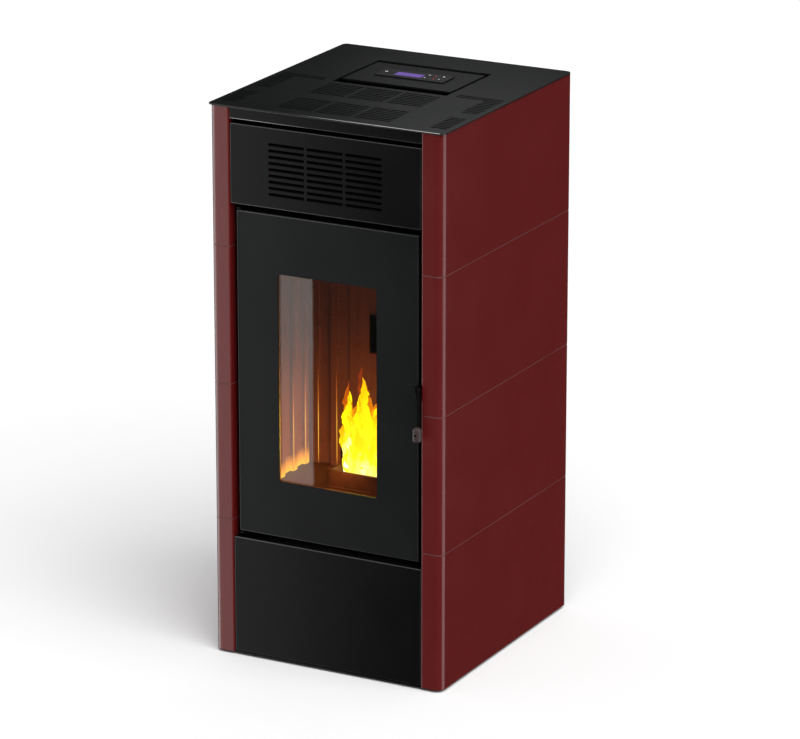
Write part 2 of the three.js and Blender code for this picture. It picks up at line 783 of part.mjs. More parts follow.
function makeFirebox() {
  const wall = firebox.wall;
  const shell = box(-fireHalf, fireHalf, fireFront, fireBack, fireBottom, fireTop);
  const chamber = box(
    -chamberHalf,
    chamberHalf,
    fireFront - bite,
    chamberBack,
    fireBottom + wall,
    fireTop - wall,
  );
  const legX = fireHalf - leg.inset;
  const legAt = (side) => {
    const ends = [side * legX, side * (legX - leg.thickness)].sort((a, b) => a - b);
    return box(ends[0], ends[1], fireFront + leg.margin, fireBack - leg.margin, floorZ + gap,
      fireBottom + bite);
  };
  const ductLeft = smokeDuct.x - smokeDuct.width / 2;
  const ductRight = smokeDuct.x + smokeDuct.width / 2;
  const ductBack = fireBack + smokeDuct.depth;
  const ductTop = ledgeTop + smokeDuct.aboveLedge;
  const duct = box(ductLeft, ductRight, fireBack - bite, ductBack, smokeDuct.bottom, ductTop);
  const ductHollow = box(
    ductLeft + smokeDuct.wall,
    ductRight - smokeDuct.wall,
    fireBack,
    ductBack - smokeDuct.wall,
    smokeDuct.bottom + smokeDuct.wall,
    ductTop - smokeDuct.wall,
  );
  const smokeLeft = smokeDuct.x - smokeHole.width / 2;
  const smokeCut = box(
    smokeLeft,
    smokeLeft + smokeHole.width,
    chamberBack - bite,
    fireBack + bite,
    smokeHoleBottom,
    smokeHoleBottom + smokeHole.height,
  );
  const outlet = bar(
    [smokeDuct.x, ductBack - smokeDuct.wall - bite, smokeDuct.outletZ],
    [smokeDuct.x, ductBack + bite, smokeDuct.outletZ],
    smokeDuct.throat,
    sides.disc,
  );
  const airHole = bar(
    [airPipe.x, chamberBack - bite, airPipeZ],
    [airPipe.x, fireBack + bite, airPipeZ],
    airPipe.radius - airPipe.wall,
    sides.disc,
  );
  const igniterHole = bar(
    [0, chamberBack - bite, ledgeTop - igniter.below],
    [0, fireBack + bite, ledgeTop - igniter.below],
    igniter.radius + gap,
    sides.small,
  );
  const bearerTop = ledgeTop - ledge.thickness - gap;
  const bearer = (side) => {
    const ends = [side * (chamberHalf + bite), side * (chamberHalf - ledge.bearer)].sort((a, b) => a - b);
    return box(ends[0], ends[1], fireFront + leg.margin, chamberBack - leg.margin,
      bearerTop - ledge.bearerWall,
      bearerTop);
  };
  const steel = joined(cut(shell, chamber), legAt(-1), legAt(1), duct, bearer(-1), bearer(1));
  const chuteHole = chuteSolid(chute.size / 2 + gap, 0);
  piece('firebox', cut(steel, ductHollow, smokeCut, outlet, airHole, igniterHole, chuteHole),
    'blackSatin');
}

function ribbed(plateFrom, plateTo, ribTo, from, to, pitch, bottom, top, place) {
  const solids = [place(plateFrom, plateTo, from, to, bottom, top)];
  const count = Math.floor((to - from - liner.ribWidth) / pitch) + 1;
  const start = (from + to) / 2 - (count - 1) * pitch / 2 - liner.ribWidth / 2;
  for (let i = 0; i < count; i += 1) {
    const at = start + i * pitch;
    solids.push(place(plateTo - bite, ribTo, at, at + liner.ribWidth, bottom, top));
  }
  return joined(...solids);
}

function makeLiners() {
  const bottom = ledgeTop + gap;
  const backPlateFront = chamberBack - gap - liner.plate;
  const backFront = backPlateFront - liner.rib;
  const sidePlace = (side) => (a, b, y0, y1, z0, z1) => {
    const xs = [side * (chamberHalf - gap - a), side * (chamberHalf - gap - b)].sort((p, q) => p - q);
    return box(xs[0], xs[1], y0, y1, z0, z1);
  };
  const sideFrom = fireFront + leg.margin;
  const sideTo = backFront - bite;
  for (const [name, side] of [['left_liner', -1], ['right_liner', 1]]) {
    const wall = ribbed(0, liner.plate, liner.plate + liner.rib, sideFrom, sideTo, liner.sidePitch,
      bottom,
      linerTop, sidePlace(side));
    piece(name, wall, 'liner');
  }
  const backPlace = (a, b, x0, x1, z0, z1) =>
    box(x0, x1, chamberBack - gap - b, chamberBack - gap - a, z0, z1);
  const reach = chamberHalf - gap;
  let back = ribbed(0, liner.plate, liner.plate + liner.rib, -reach, reach, liner.backPitch,
    bottom, linerTop,
    backPlace);
  const barWidth = smokeHole.width / (2 * smokeHole.bars);
  for (let i = 0; i < smokeHole.bars; i += 1) {
    const x = smokeDuct.x - smokeHole.width / 2 + (2 * i + 0.5) * barWidth;
    const slot = box(x, x + barWidth, backFront - bite, chamberBack, smokeHoleBottom,
      smokeHoleBottom + smokeHole.height);
    back = cut(back, slot);
  }
  back = cut(back, chuteSolid(chute.size / 2 + gap, 0));
  piece('back_liner', back, 'liner');
}

function makeBaffle() {
  const z = linerTop + gap;
  const y = fireFront + leg.margin;
  const reach = chamberHalf - gap;
  piece('flame_baffle', box(-reach, reach, y, y + baffle.depth, z, z + baffle.thickness), 'liner');
}

// ---------------------------------------------------------------- burn pot and ash pan

const potFront = fireFront + pot.front;
const potBack = potFront + pot.depth;
const potHalf = pot.width / 2;
const potBottom = ledgeTop - pot.below;

function makeLedge() {
  const reach = chamberHalf - gap;
  const front = fireFront + ledge.front;
  const plate = box(-reach, reach, front, chamberBack - gap, ledgeTop - ledge.thickness, ledgeTop);
  const apronReach = reach - ledge.bearer - 2 * ledge.clearance;
  const apron = box(-apronReach, apronReach, front, front + ledge.apronWall, ledgeTop - ledge.apron,
    ledgeTop - bite);
  const hole = box(-potHalf - ledge.clearance, potHalf + ledge.clearance, potFront - ledge.clearance,
    potBack + ledge.clearance, ledgeTop - ledge.apron, ledgeTop + bite);
  piece('burn_pot_ledge', cut(joined(plate, apron), hole), 'castIron');
}

function makePot() {
  const outer = box(-potHalf, potHalf, potFront, potBack, potBottom, ledgeTop + pot.rim);
  const wall = pot.wall;
  const collarBottom = ledgeTop + gap;
  const lip = box(
    -potHalf - pot.collar,
    potHalf + pot.collar,
    potFront - pot.collar,
    potBack + pot.collar,
    collarBottom,
    collarBottom + pot.collarHeight,
  );
  const hollow = box(-potHalf + wall, potHalf - wall, potFront + wall, potBack - wall, potBottom + wall,
    ledgeTop + pot.rim + bite);
  let solid = cut(joined(outer, lip), hollow);
  const middleY = (potFront + potBack) / 2;
  for (let row = 0; row < potHoles.rows; row += 1) {
    for (let column = 0; column < potHoles.columns; column += 1) {
      const x = (column - (potHoles.columns - 1) / 2) * potHoles.pitch;
      const y = middleY + (row - (potHoles.rows - 1) / 2) * potHoles.pitch;
      solid = cut(solid, bar([x, y, potBottom - bite], [x, y, potBottom + wall + bite],
        potHoles.radius, 6));
    }
  }
  const glowZ = ledgeTop - igniter.below;
  const glowHole = bar([0, potBack - wall - bite, glowZ], [0, potBack + bite, glowZ],
    potHoles.igniterRadius, 10);
  piece('burn_pot', cut(solid, glowHole), 'castIron');
}

function makeIgniter() {
  const z = ledgeTop - igniter.below;
  const rod = bar([0, potBack + ledge.clearance, z], [0, fireBack + igniter.tail, z], igniter.radius,
    sides.small);
  const ring = bar([0, fireBack + gap, z], [0, fireBack + gap + igniter.collarLength, z],
    igniter.collarRadius, sides.small);
  piece('igniter', joined(rod, ring), 'stainless');
}

function makeAshPan() {
  const bottom = fireBottom + firebox.wall + gap;
  const top = bottom + ashPan.height;
  const reach = chamberHalf - ashPan.margin;
  const y0 = fireFront + ashPan.frontMargin;
  const y1 = chamberBack - ashPan.margin;
  const tray = box(-reach, reach, y0, y1, bottom, top);
  const wall = ashPan.wall;
  const hollow = box(-reach + wall, reach - wall, y0 + wall, y1 - wall, bottom + wall, top + bite);
  const grip = box(-ashPan.gripHalf, ashPan.gripHalf, y0 - ashPan.grip, y0 + bite,
    top - ashPan.gripDrop - ashPan.gripWall, top - ashPan.gripDrop);
  piece('ash_pan', joined(cut(tray, hollow), grip), 'zinc');
}

// ---------------------------------------------------------------- hopper and auger

// The auger climbs towards the front at 45 degrees, from its motor to the top of the chute.
const climb = Math.SQRT1_2;
const augerTop = { y: fireBack + auger.inset, z: throatZ - auger.belowThroat };

// The gearmotor's lower edge stays clear of the rear cover, which sets how long the auger is.
const motorReach = (gearmotor.size / 2 - gearmotor.canInset) * climb;
const motorEndY = rearPlateY - gearmotor.rearSpace - motorReach;
const augerLength = (motorEndY - augerTop.y) / climb - gearmotor.length - gap;

function alongAuger(distance) {
  return [0, augerTop.y + distance * climb, augerTop.z - distance * climb];
}

// The square chute falls from the auger's top end to the front, through the firebox's back.
function chuteSolid(halfSize, extra) {
  const mouthY = chamberBack - gap - liner.plate - liner.rib - chute.past;
  const run = (augerTop.y - mouthY) / climb + extra;
  const centreLine = (offset, along) => [
    augerTop.y - along * climb - offset * climb,
    augerTop.z - along * climb + offset * climb,
  ];
  const outline = [
    centreLine(-halfSize, -halfSize),
    centreLine(halfSize, -halfSize),
    centreLine(halfSize, run + halfSize),
    centreLine(-halfSize, run + halfSize),
  ];
  const duct = prism(outline, 'x', -halfSize, halfSize);
  const keep = box(-halfSize - bite, halfSize + bite, mouthY - extra, augerTop.y + 4 * halfSize, 0,
    body.height);
  return duct.intersect(keep);
}

function makeAugerTube() {
  const outerRadius = auger.tubeRadius;
  const innerRadius = outerRadius - auger.wall;
  const tube = bar(alongAuger(0), alongAuger(augerLength), outerRadius, sides.drum);
  const bore = bar(alongAuger(-bite), alongAuger(augerLength - auger.wall), innerRadius, sides.drum);
  const shaftHole = bar(alongAuger(augerLength - 2 * auger.wall), alongAuger(augerLength + bite),
    augerFlight.shaftRadius + gap, sides.small);
  const outerHalf = collar.size / 2;
  const innerHalf = outerHalf - collar.wall;
  const axisZ = augerTop.z - (collarY - augerTop.y);
  const collarTop = throatZ - gap;
  const neck = box(-outerHalf, outerHalf, collarY - outerHalf, collarY + outerHalf, axisZ, collarTop);
  const neckHollow = box(-innerHalf, innerHalf, collarY - innerHalf, collarY + innerHalf, axisZ,
    collarTop + bite);
  const outerChute = chuteSolid(chute.size / 2, 0);
  const innerChute = chuteSolid(chute.size / 2 - chute.wall, bite);
  const outside = joined(tube, neck, outerChute);
  piece('auger_tube', cut(outside, bore, shaftHole, neckHollow, innerChute), 'blackSatin');
}

// The core and one flight as a single outline that turns as it is pushed along the shaft.
function makeAugerScrew() {
  const flightRadius = auger.tubeRadius - auger.wall - augerFlight.clearance;
  const sector = augerFlight.sector;
  const outline = [
    ...arc(0, 0, auger.coreRadius, sector, 360, 6),
    ...arc(0, 0, flightRadius, 0, sector, 1),
  ];
  const start = augerFlight.startInset;
  const length = augerLength - auger.wall - 2 * start;
  const turns = length / auger.pitch;
  const steps = Math.round(turns * auger.stepsPerTurn);
  const shape = new THREE.Shape(outline.map(([x, y]) => new THREE.Vector2(x, y)));
  const geometry = new THREE.ExtrudeGeometry(shape, { depth: length, steps, bevelEnabled: false });
  const position = geometry.attributes.position;
  for (let i = 0; i < position.count; i += 1) {
    const point = new THREE.Vector3().fromBufferAttribute(position, i);
    point.applyAxisAngle(new THREE.Vector3(0, 0, 1), point.z / auger.pitch * 2 * Math.PI);
    position.setXYZ(i, point.x, point.y, point.z);
  }
  const direction = new THREE.Vector3(0, climb, -climb);
  geometry.applyQuaternion(new THREE.Quaternion().setFromUnitVectors(new THREE.Vector3(0, 0, 1),
    direction));
  geometry.translate(...alongAuger(start));
  const shaftEnd = augerLength + gearmotor.bossLength;
  const shaft = bar(alongAuger(start + length - bite), alongAuger(shaftEnd), augerFlight.shaftRadius,
    sides.small);
  piece('auger_screw', joined(solidFrom(geometry), shaft), 'stainless');
}

function makeGearmotor() {
  const start = augerLength + gap;
  const halfSize = gearmotor.size / 2;
  const flange = bar(alongAuger(start), alongAuger(start + gearmotor.bossLength + bite),
    gearmotor.bossRadius, sides.medium);
  const near = start + gearmotor.bossLength;
  const far = start + gearmotor.length;
  const corner = (distance, offset) => [
    augerTop.y + distance * climb + offset * climb,
    augerTop.z - distance * climb + offset * climb,
  ];
  const gearEnd = near + gearmotor.gears;
  const gearOutline = [
    corner(near, -halfSize),
    corner(gearEnd, -halfSize),
    corner(gearEnd, halfSize),
    corner(near, halfSize),
  ];
  const gearCase = prism(gearOutline, 'x', -halfSize, halfSize);
  const can = bar(alongAuger(gearEnd - bite), alongAuger(far), halfSize - gearmotor.canInset, sides.disc);
  const socketEnd = start + gearmotor.bossLength + gearmotor.socket;
  const shaftSocket = bar(alongAuger(start - bite), alongAuger(socketEnd),
    augerFlight.shaftRadius + gap, sides.small);
  piece('auger_gearmotor', cut(joined(flange, gearCase, can), shaftSocket), 'aluminium');
}

function hopperSolid(inset, top) {
  const reach = hopperHalf - inset;
  const front = hopperFront + inset;
  const back = hopperBack - inset;
  const throatHalf = collar.size / 2 - inset;
  const acrossOutline = [
    [-throatHalf, throatZ],
    [throatHalf, throatZ],
    [reach, shoulderZ],
    [reach, top],
    [-reach, top],
    [-reach, shoulderZ],
  ];
  const alongOutline = [
    [collarY - throatHalf, throatZ],
    [collarY + throatHalf, throatZ],
    [back, shoulderZ],
    [back, top],
    [front, top],
    [front, shoulderZ],
  ];
  const across = prism(acrossOutline, 'y', front - bite, back + bite);
  const along = prism(alongOutline, 'x', -reach - bite, reach + bite);
  return across.intersect(along);
}

function makeHopper() {
  const wall = hopper.wall;
  const outside = hopperSolid(0, topZ);
  const store = hopperSolid(wall, deckZ - wall);
  const rimPocket = box(
    -hopperHalf + wall,
    hopperHalf - wall,
    hopperFront + wall,
    hopperBack - wall,
    deckZ,
    topZ + bite,
  );
  const mouthFront = lidFront + hopperMouth.setBack;
  const mouth = box(-hopperMouth.width / 2, hopperMouth.width / 2, mouthFront,
    mouthFront + hopperMouth.depth,
    deckZ - wall - bite, deckZ + bite);
  const throatHalf = collar.size / 2 - collar.wall;
  const throat = box(-throatHalf, throatHalf, collarY - throatHalf, collarY + throatHalf,
    throatZ - bite,
    throatZ + 2 * wall);
  piece('pellet_hopper', cut(outside, store, rimPocket, mouth, throat), 'blackSatin');
}

// ---------------------------------------------------------------- hopper lid and its controls

const controlFront = lidFront + controls.setBack;
const controlTop = plateTopZ + controls.rise;
const tubFront = controlFront + controls.tubInset;

function makeLid() {
  const reach = lid.width / 2;
  const plate = box(-reach, reach, lidFront, lidBack, plateZ, plateTopZ);
  const skirtHalf = reach - lid.skirtInset;
  const skirtFront = lidFront + lid.skirtSetBack;
  const skirtBack = lidBack - sheet;
  const skirtBottom = deckZ + gap;
  const skirt = box(-skirtHalf, skirtHalf, skirtFront, skirtBack, skirtBottom, plateZ + bite);
  const hollow = box(-skirtHalf + sheet, skirtHalf - sheet, skirtFront + sheet, skirtBack - sheet,
    skirtBottom - bite, plateZ);
  const tub = box(-controls.tubWidth / 2 - gap, controls.tubWidth / 2 + gap, tubFront - gap,
    tubFront + controls.tubDepth + gap, skirtBottom, plateTopZ + bite);
  let solid = cut(joined(plate, skirt), hollow, tub);
  const earReach = lidHinge.pinRadius + lidHinge.earWall;
  const earBack = pinY + earReach;
  for (const side of [-1, 1]) {
    const x0 = side * lidHinge.earAt - lidHinge.earWidth / 2;
    const ear = box(x0, x0 + lidHinge.earWidth, skirtBack - bite, earBack, pinZ - earReach,
      plateZ + bite);
    const neckCut = box(x0 - bite, x0 + lidHinge.earWidth + bite, lidBack, earBack + bite,
      plateZ - gap, plateTopZ);
    solid = joined(solid, cut(ear, neckCut));
  }
  const bore = bar([-reach, pinY, pinZ], [reach, pinY, pinZ], lidHinge.pinRadius + gap, sides.medium);
  const boreKeep = box(-reach - bite, reach + bite, skirtBack, earBack + bite, pinZ - earReach,
    pinZ + earReach);
  piece('hopper_lid', cut(solid, bore.intersect(boreKeep)), 'blackPaint');
}

function makeLidHinge() {
  const reach = lidHinge.bracketWidth / 2;
  const plateY = pinY + lidHinge.pinRadius;
  const bottom = deckZ + gap;
  const { foot: footDepth, overPin, pinPast, knuckleFront } = lidHingeLeaf;
  const leaf = box(-reach, reach, plateY, plateY + sheet, bottom, pinZ + overPin);
  const footLeaf = box(-reach, reach, plateY - footDepth, plateY + bite, bottom, bottom + sheet);
  const knuckle = box(-reach, reach, pinY - knuckleFront, plateY + bite, pinZ - overPin, pinZ + overPin);
  const pinReach = lidHinge.earAt + lidHinge.earWidth / 2 + pinPast;
  const pin = bar([-pinReach, pinY, pinZ], [pinReach, pinY, pinZ], lidHinge.pinRadius, sides.medium);
  piece('lid_hinge', joined(leaf, footLeaf, knuckle, pin), 'zinc');
}

function makeControlPanel() {
  const reach = controls.width / 2;
  const fascia = box(-reach, reach, controlFront, controlFront + controls.depth, plateTopZ + gap,
    controlTop);
  const tub = box(-controls.tubWidth / 2, controls.tubWidth / 2, tubFront, tubFront + controls.tubDepth,
    plateTopZ + gap - controls.tubDrop, plateTopZ + gap + bite);
  let panel = joined(fascia, tub);
  for (const place of keyPlaces) {
    const at = [place.x, controlFront + place.y];
    panel = cut(panel, bar([...at, controlTop - key.pocket], [...at, controlTop + bite],
      key.radius + gap, sides.disc));
  }
  const y = controlFront + (controls.depth - display.depth) / 2;
  const pocket = box(display.left - gap, display.left + display.width + gap, y - gap,
    y + display.depth + gap, controlTop - display.inset, controlTop + bite);
  panel = cut(panel, pocket);
  piece('control_panel', panel, 'plastic');
  const screenBottom = controlTop - display.inset + gap;
  const screen = box(display.left, display.left + display.width, y, y + display.depth, screenBottom,
    controlTop - display.below);
  piece('display', screen, 'display');
}

function makeKeys() {
  for (const place of keyPlaces) {
    const at = [place.x, controlFront + place.y];
    const top = controlTop + key.proud;
    const cap = bar([...at, top - key.body], [...at, top], key.radius, sides.disc);
    piece(place.name, cap, 'keyCap');
  }
}

// ---------------------------------------------------------------- smoke fan, flue and air pipe

const smokeFanFront = fireBack + smokeDuct.depth + gap;
const smokeFanBack = smokeFanFront + smokeFan.depth;

function makeSmokeFan() {
  const { x, outletZ: z } = smokeDuct;
  const wall = smokeFan.wall;
  const can = bar([x, smokeFanFront, z], [x, smokeFanBack, z], smokeFan.radius, sides.large);
  const canHollow = bar([x, smokeFanFront + wall, z], [x, smokeFanBack - wall, z],
    smokeFan.radius - wall, sides.large);
  const sideX = flue.x - flue.radius - smokeFan.armMargin;
  const low = z - smokeFan.radius;
  const high = flue.z + flue.radius + smokeFan.armMargin;
  const arm = box(sideX, x, smokeFanFront, smokeFanBack, low, high);
  const armHollow = box(sideX + wall, x, smokeFanFront + wall, smokeFanBack - wall, low + wall,
    high - wall);
  const inletHole = bar([x, smokeFanFront - bite, z], [x, smokeFanFront + wall + bite, z],
    smokeFan.inlet, sides.disc);
  const shaftHole = bar([x, smokeFanBack - wall - bite, z], [x, smokeFanBack + bite, z],
    smokeMotor.shaft + gap, sides.small);
  const flueHole = bar([flue.x, smokeFanBack - wall - bite, flue.z],
    [flue.x, smokeFanBack + bite, flue.z], flue.radius - flue.wall, sides.drum);
  const shell = cut(joined(can, arm), canHollow, armHollow, inletHole, shaftHole, flueHole);
  piece('exhaust_fan_housing', shell, 'zinc');
}

function makeSmokeWheel() {
  const { x, outletZ: z } = smokeDuct;
  const wheelBack = smokeFanBack - smokeFan.wall - smokeWheel.back;
  const wheelFront = smokeFanFront + smokeFan.wall + smokeWheel.front;
  let wheel = bar([x, wheelBack - smokeWheel.disc, z], [x, wheelBack, z], smokeWheel.radius, sides.drum);
  for (let i = 0; i < smokeWheel.blades; i += 1) {
    const bladeLength = smokeWheel.bladeTo - smokeWheel.bladeFrom;
    const geometry = new THREE.BoxGeometry(bladeLength, wheelBack - wheelFront - bite, smokeWheel.blade);
    geometry.translate(smokeWheel.bladeFrom + bladeLength / 2, (wheelFront + wheelBack - bite) / 2, 0);
    geometry.rotateY(i / smokeWheel.blades * 2 * Math.PI);
    geometry.translate(x, 0, z);
    wheel = joined(wheel, solidFrom(geometry));
  }
  const shaft = bar([x, wheelFront, z], [x, smokeFanBack + smokeMotor.shaftIn, z], smokeMotor.shaft,
    sides.small);
  const hub = bar([x, wheelFront + smokeWheel.disc, z], [x, wheelBack - 2 * bite, z], smokeWheel.hub,
    sides.small);
  piece('exhaust_impeller', joined(wheel, shaft, hub), 'stainless');
}

function makeSmokeMotor() {
  const { x, outletZ: z } = smokeDuct;
  const from = smokeFanBack + gap;
  const motorBody = bar([x, from, z], [x, from + smokeMotor.length, z], smokeMotor.radius, sides.drum);
  const socketEnd = smokeFanBack + smokeMotor.socket;
  const motorSocket = bar([x, from - bite, z], [x, socketEnd, z], smokeMotor.shaft + gap, sides.small);
  piece('exhaust_motor', cut(motorBody, motorSocket), 'blackSatin');
}

function pipe(x, z, from, to, radius, wall, segments) {
  const outer = bar([x, from, z], [x, to, z], radius, segments);
  return cut(outer, bar([x, from - bite, z], [x, to + bite, z], radius - wall, segments));
}

function makePipes() {
  const fluePipe = pipe(flue.x, flue.z, smokeFanBack + gap, rearY + flue.proud, flue.radius,
    flue.wall, sides.large);
  piece('flue_outlet', fluePipe, 'blackSatin');
  const intake = pipe(airPipe.x, airPipeZ, fireBack + gap, rearY + airPipe.proud, airPipe.radius,
    airPipe.wall, sides.airPipe);
  piece('air_intake', intake, 'zinc');
}

// ---------------------------------------------------------------- room air fan

const airFanY = fireFront + airFan.behindFront;

function makeAirFan() {
  const { x, z, wall } = airFan;
  const y = airFanY;
  const x1 = x + airFan.width / 2;
  const x0 = x - airFan.width / 2;
  const scroll = bar([x0, y, z], [x1, y, z], airFan.radius, sides.large);
  const scrollHollow = bar([x0 + wall, y, z], [x1 - wall, y, z], airFan.radius - wall, sides.large);
  const outletBack = fireBack - leg.margin;
  const spout = box(x0, x1, y, outletBack, z, z + airFan.radius);
  const spoutHollow = box(x0 + wall, x1 - wall, y, outletBack + bite, z + wall, z + airFan.radius - wall);
  const footHalf = airFan.foot / 2;
  const { footInset } = airFan;
  const pedestal = box(x0 + footInset, x1 - footInset, y - footHalf, y + footHalf, floorZ + gap,
    z - airFan.radius + airFan.footBite);
  const inletHole = bar([x0 - bite, y, z], [x0 + wall + bite, y, z], airFan.inlet, sides.drum);
  const shaftHole = bar([x1 - wall - bite, y, z], [x1 + bite, y, z], airWheel.shaft + gap, sides.small);
  const shell = cut(joined(scroll, spout, pedestal), scrollHollow, spoutHollow, inletHole, shaftHole);
  piece('room_fan_housing', shell, 'zinc');
}

function makeAirWheel() {
  const { x, z } = airFan;
  const y = airFanY;
  const x1 = x + airWheel.width / 2;
  const x0 = x - airWheel.width / 2;
  const ringAt = (from) => cut(
    bar([from, y, z], [from + airWheel.ring, y, z], airWheel.radius, sides.drum),
    bar([from - bite, y, z], [from + airWheel.ring + bite, y, z],
      airWheel.radius - airWheel.bladeDepth, sides.drum),
  );
  let wheel = joined(ringAt(x0), bar([x1 - airWheel.ring, y, z], [x1, y, z], airWheel.radius, sides.drum));
  for (let i = 0; i < airWheel.blades; i += 1) {
    const angle = (i + 0.5) / airWheel.blades * 2 * Math.PI;
    const geometry = new THREE.BoxGeometry(airWheel.width - 2 * bite, airWheel.blade,
      airWheel.bladeDepth - 2 * bite);
    geometry.rotateX(airWheel.lean);
    geometry.translate(0, 0, airWheel.radius - airWheel.bladeDepth / 2);
    geometry.rotateX(angle);
    geometry.translate(x, y, z);
    wheel = joined(wheel, solidFrom(geometry));
  }
  const hubFrom = x1 - bite - airWheel.hubLength;
  const shaftEnd = x + airFan.width / 2 + airMotor.shaftIn;
  const shaft = bar([hubFrom + bite, y, z], [shaftEnd, y, z], airWheel.shaft, sides.small);
  const hub = bar([hubFrom, y, z], [x1 - bite, y, z], airWheel.hub, sides.small);
  piece('room_fan_impeller', joined(wheel, shaft, hub), 'aluminium');
}

function makeAirMotor() {
  const { x, z } = airFan;
  const y = airFanY;
  const from = x + airFan.width / 2 + gap;
  const motorBody = bar([from, y, z], [from + airMotor.length, y, z], airMotor.radius, sides.drum);
  const motorSocket = bar([from - bite, y, z], [from + airMotor.socket, y, z], airWheel.shaft + gap,
    sides.small);
  piece('room_fan_motor', cut(motorBody, motorSocket), 'blackSatin');
}

// ---------------------------------------------------------------- rear cover and electrics

const coverBack = rearPlateY + sheet;
const inletX = half - inlet.fromSide;

function makeRearCover() {
  const plate = box(-insideHalf, insideHalf, rearPlateY, coverBack, floorZ + gap, topZ - gap);
  const through = (x, z, radius, segments) =>
    bar([x, rearPlateY - bite, z], [x, coverBack + bite, z], radius, segments);
  let cover = cut(
    plate,
    through(flue.x, flue.z, flue.radius + gap, sides.large),
    through(airPipe.x, airPipeZ, airPipe.radius + gap, sides.airPipe),
    box(
      inletX - inlet.width / 2 + inlet.step - gap,
      inletX + inlet.width / 2 - inlet.step + gap,
      rearPlateY - bite,
      coverBack + bite,
      inlet.z - inlet.height / 2 + inlet.step - gap,
      inlet.z + inlet.height / 2 - inlet.step + gap,
    ),
  );
  for (const side of [-1, 1]) {
    for (let row = 0; row < rearCover.ventRows; row += 1) {
      const x = side * rearCover.ventX;
      const z = rearCover.ventZ - row * rearCover.ventPitch;
      const vent = box(x - rearCover.ventWidth / 2, x + rearCover.ventWidth / 2, rearPlateY - bite,
        coverBack + bite, z, z + rearCover.ventHeight);
      cover = cut(cover, vent);
    }
  }
  piece('rear_cover', cover, 'zinc');
}

const inletBack = coverBack + gap + inlet.flange;
const switchZ = inlet.z + rocker.z;

function makeMainsInlet() {
  const { z, step } = inlet;
  const x = inletX;
  const halfWidth = inlet.width / 2;
  const halfHeight = inlet.height / 2;
  const plate = box(x - halfWidth, x + halfWidth, coverBack + gap, inletBack, z - halfHeight,
    z + halfHeight);
  const can = box(x - halfWidth + step, x + halfWidth - step, inletBack - inlet.depth,
    coverBack + gap + bite, z - halfHeight + step, z + halfHeight - step);
  const socketZ = z + socket.z;
  const wellEnd = inletBack - socket.depth;
  const well = box(x - socket.width / 2, x + socket.width / 2, wellEnd, inletBack + bite,
    socketZ - socket.height / 2, socketZ + socket.height / 2);
  const wellHalf = rocker.height / 2 + rocker.clearance;
  const switchWell = box(x - rocker.width / 2 - gap, x + rocker.width / 2 + gap, inletBack - rocker.well,
    inletBack + bite, switchZ - wellHalf, switchZ + wellHalf);
  let solid = cut(joined(plate, can), well, switchWell);
  for (const place of [-1, 0, 1]) {
    const pinX = x + place * socket.spread;
    const pin = box(pinX - socket.pinWidth / 2, pinX + socket.pinWidth / 2, wellEnd - bite,
      wellEnd + socket.pinLength, socketZ - socket.pinHeight / 2, socketZ + socket.pinHeight / 2);
    solid = joined(solid, pin);
  }
  piece('mains_inlet', solid, 'plastic');
}

function makeMainsSwitch() {
  const pivotY = inletBack - rocker.depth / 2 - rocker.sink;
  const reach = rocker.height / 2;
  const face = rocker.depth / 2;
  const outline = [
    [-face, -reach + rocker.taper],
    [face, -reach],
    [face - rocker.dish, 0],
    [face, reach],
    [-face, reach - rocker.taper],
  ];
  const tilt = THREE.MathUtils.degToRad(rocker.tilt);
  const turned = outline.map(([y, z]) => [
    pivotY + y * Math.cos(tilt) - z * Math.sin(tilt),
    switchZ + y * Math.sin(tilt) + z * Math.cos(tilt),
  ]);
  piece('mains_switch', prism(turned, 'x', inletX - rocker.width / 2, inletX + rocker.width / 2),
    'plastic');
}

const boardY = rearY - board.fromRear;

function makeBoard() {
  const wallX = half - sheet - gap;
  const boardBack = wallX - board.stand;
  const boardFace = boardBack - board.thickness;
  const yEnd = boardY + board.width;
  const zEnd = board.z + board.height;
  let solid = box(boardFace, boardBack, boardY, yEnd, board.z, zEnd);
  for (const y of [boardY + board.margin, yEnd - board.margin]) {
    for (const z of [board.z + board.margin, zEnd - board.margin]) {
      solid = joined(solid, bar([boardBack - bite, y, z], [wallX, y, z], board.post, sides.tiny));
    }
  }
  for (const part of Object.values(boardParts)) {
    const y = boardY + part.y;
    const z = board.z + part.z;
    solid = joined(solid, box(boardFace - part.tall, boardFace + bite, y, y + part.width, z,
      z + part.height));
  }
  const canY = boardY + capacitor.y;
  const canZ = board.z + capacitor.z;
  const can = bar([boardFace + bite, canY, canZ], [boardFace - capacitor.tall, canY, canZ],
    capacitor.radius, sides.small);
  piece('control_board', joined(solid, can), 'circuit');
}

// ---------------------------------------------------------------- assembly

makeBase();
makeFeet();
makeCasings();
makeTopPlate();
makeRearCover();
makeFrontFrame();
makeCrossbar();
makeUpperGrille();
makeLowerPanel();
makeDoorHinges();
makeDoorCatch();
makeDoorPanel();
makeGlazing();
makeDoorSeal();
makeDoorHandle();
makeFirebox();
makeLiners();
makeBaffle();
makeLedge();
makePot();
makeIgniter();
makeAshPan();
makeHopper();
makeAugerTube();
makeAugerScrew();
makeGearmotor();
makeLid();
makeLidHinge();
makeControlPanel();
makeKeys();
makeSmokeFan();
makeSmokeWheel();
makeSmokeMotor();
makePipes();
makeAirFan();
makeAirWheel();
makeAirMotor();
makeMainsInlet();
makeMainsSwitch();
makeBoard();

// The origin lies under the middle of the whole object.
const bounds = new THREE.Box3().setFromObject(stove);
const middle = bounds.getCenter(new THREE.Vector3());
stove.position.set(-middle.x, -middle.y, -bounds.min.z);

export default stove;
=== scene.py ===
import math
import random

import bmesh
import bpy
from mathutils import Matrix, Vector, noise


